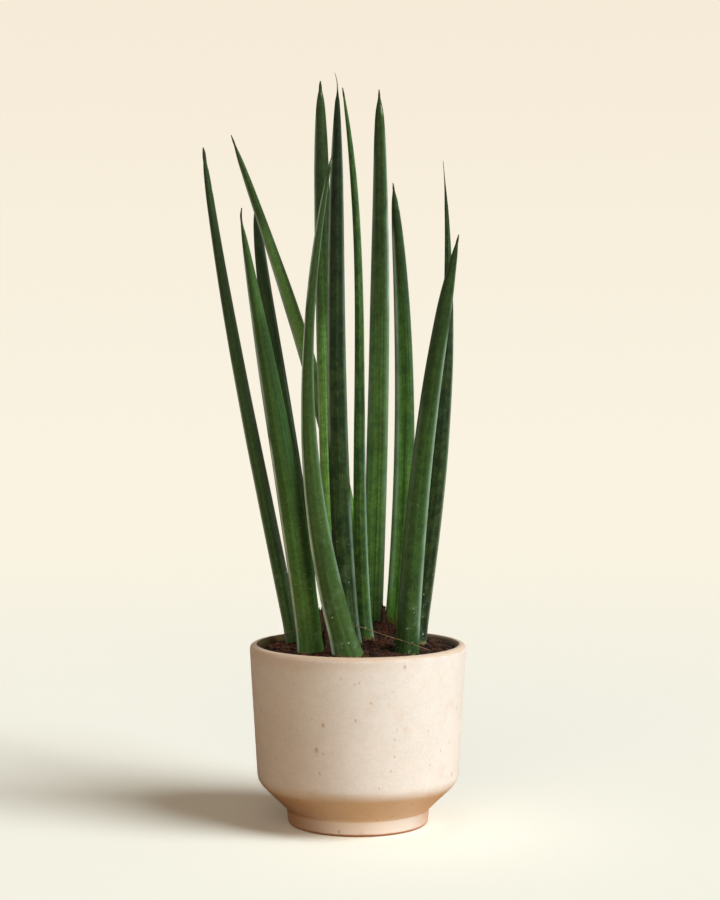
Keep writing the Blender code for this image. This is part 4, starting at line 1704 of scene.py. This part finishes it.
def make_stage(look):
    """Round floor, and a round wall that neither shades the plant nor lights its dull skins."""
    reach = FLOOR_SPREAD + COVE_RADIUS
    corners = ((0.0, 0.0, 0), (reach, 0.0, COVE_RADIUS), (reach, WALL_TOP, 0))
    floor = [(0.3, 0.0), (1.0, 0.0), (FLOOR_SPREAD, 0.0)]
    wall = rounded_outline(corners, COVE_STEPS)[1:]
    material = backdrop_material(look)
    for name, outline in (("studio_floor", floor), ("studio_wall", wall)):
        rings = turn_outline(outline, STAGE_SIDES)
        points = [point for ring in rings for point in ring]
        faces = [tuple(reversed(face)) for face in grid_faces(len(rings), STAGE_SIDES)]
        if name == "studio_floor":
            faces += fan_faces(0, STAGE_SIDES, len(points), upward=True)
            points.append((0.0, 0.0, 0.0))
        piece = smooth_piece(name, points, faces, material)
    piece.visible_diffuse = False
    piece.visible_shadow = False


def add_lamp(name, side, height, softness, strength, colour):
    """A soft lamp far away, at an angle to the right of the camera and up."""
    lamp = bpy.data.lights.new(name, "SUN")
    lamp.energy = strength
    lamp.color = colour
    lamp.angle = softness
    made = bpy.data.objects.new(name, lamp)
    towards = Vector((math.sin(side) * math.cos(height),
                      -math.cos(side) * math.cos(height), math.sin(height)))
    made.rotation_euler = towards.to_track_quat("Z", "Y").to_euler()
    made.location = towards * 2
    bpy.context.scene.collection.objects.link(made)


def make_light(look):
    """Soft key light from the right, faint fill from the front and even warm air."""
    add_lamp("soft_key", KEY_SIDE, KEY_HEIGHT, KEY_SOFTNESS, look.key_strength, look.key)
    add_lamp("front_fill", FILL_SIDE, FILL_HEIGHT, FILL_SOFTNESS, look.fill_strength, look.fill)
    world = bpy.data.worlds.new("studio_air")
    world.use_nodes = True
    air = world.node_tree.nodes["Background"]
    air.inputs["Color"].default_value = (*look.air, 1.0)
    air.inputs["Strength"].default_value = look.air_strength
    bpy.context.scene.world = world
    bpy.context.scene.view_settings.view_transform = "Standard"


def make_camera():
    """Camera where the photograph was taken from, level, with its view moved down."""
    lens = bpy.data.cameras.new("photo_view")
    lens.lens = CAMERA_LENS
    lens.sensor_width = CAMERA_SENSOR
    lens.shift_y = -HORIZON_ABOVE_MIDDLE / IMAGE_HEIGHT
    lens.clip_start = 0.05
    lens.clip_end = 50
    camera = bpy.data.objects.new("photo_view", lens)
    camera.location = (CAMERA_SIDE, -CAMERA_DISTANCE, CAMERA_HEIGHT)
    camera.rotation_euler = (math.radians(90), 0, 0)
    bpy.context.scene.collection.objects.link(camera)
    bpy.context.scene.camera = camera


# Operators

class BuildPot(bpy.types.Operator):
    """Dress the pot in its matte glaze."""

    bl_idname = "object.snake_plant_pot"
    bl_label = "Stoneware Pot"

    def execute(self, context):
        look = context.scene.snake_plant_pot
        rings = turn_outline(fine_outline(pot_outline(), POT_STEP), POT_SIDES, hand_shrink)
        points, faces = closed_skin(rings)
        add_piece("pot_body", points, faces, stoneware_material(look), ("pot",))
        return {"FINISHED"}


class BuildSoil(bpy.types.Operator):
    """Lay the peat with its crumbs and fibres."""

    bl_idname = "object.snake_plant_soil"
    bl_label = "Soil"

    def execute(self, context):
        look = context.scene.snake_plant_soil
        make_soil_bed(look)
        make_crumbs(look)
        make_fibres(look)
        return {"FINISHED"}


class BuildLeaves(bpy.types.Operator):
    """Give every leaf its ribbed waxy skin."""

    bl_idname = "object.snake_plant_leaves"
    bl_label = "Leaves"

    def execute(self, context):
        look = context.scene.snake_plant_leaf
        for k, name in enumerate(LEAF_NAMES):
            make_leaf(name, look, 2.7 * (k + 1))
        return {"FINISHED"}


class BuildDryMatter(bpy.types.Operator):
    """Add the dry stem, the husks, the withered sheaths and the root hair."""

    bl_idname = "object.snake_plant_dry"
    bl_label = "Dry Matter"

    def execute(self, context):
        look = context.scene.snake_plant_soil
        make_dry_stem(look)
        make_husks(look)
        make_withered(look)
        make_tufts(look)
        return {"FINISHED"}


class BuildStage(bpy.types.Operator):
    """Set up the pale floor, the soft light and the camera."""

    bl_idname = "object.snake_plant_stage"
    bl_label = "Stage"

    def execute(self, context):
        look = context.scene.snake_plant_stage
        make_stage(look)
        make_light(look)
        make_camera()
        return {"FINISHED"}


OPERATORS = (BuildPot, BuildSoil, BuildLeaves, BuildDryMatter, BuildStage)
LOOKS = {
    "snake_plant_pot": PotLook,
    "snake_plant_leaf": LeafLook,
    "snake_plant_soil": SoilLook,
    "snake_plant_stage": StageLook,
}


class SnakePlantPanel(bpy.types.Panel):
    """Lists the steps that dress the plant, with their settings."""

    bl_idname = "VIEW3D_PT_snake_plant"
    bl_label = "Snake Plant"
    bl_space_type = "VIEW_3D"
    bl_region_type = "UI"
    bl_category = "Snake Plant"

    def draw(self, context):
        for look_name, look_class in LOOKS.items():
            box = self.layout.box()
            box.label(text=look_class.__doc__)
            look = getattr(context.scene, look_name)
            for setting in look_class.__annotations__:
                box.prop(look, setting)
        for operator in OPERATORS:
            self.layout.operator(operator.bl_idname)


CLASSES = (*LOOKS.values(), *OPERATORS, SnakePlantPanel)


def register():
    """Add the settings, the steps and the panel."""
    for item in CLASSES:
        bpy.utils.register_class(item)
    for look_name, look_class in LOOKS.items():
        setattr(bpy.types.Scene, look_name, bpy.props.PointerProperty(type=look_class))


def unregister():
    """Take the settings, the steps and the panel away again."""
    for look_name in LOOKS:
        delattr(bpy.types.Scene, look_name)
    for item in reversed(CLASSES):
        bpy.utils.unregister_class(item)


def main():
    """Dress the plant, step by step."""
    register()
    for operator in OPERATORS:
        group, name = operator.bl_idname.split(".")
        getattr(getattr(bpy.ops, group), name)()


if __name__ == "__main__":
    main()
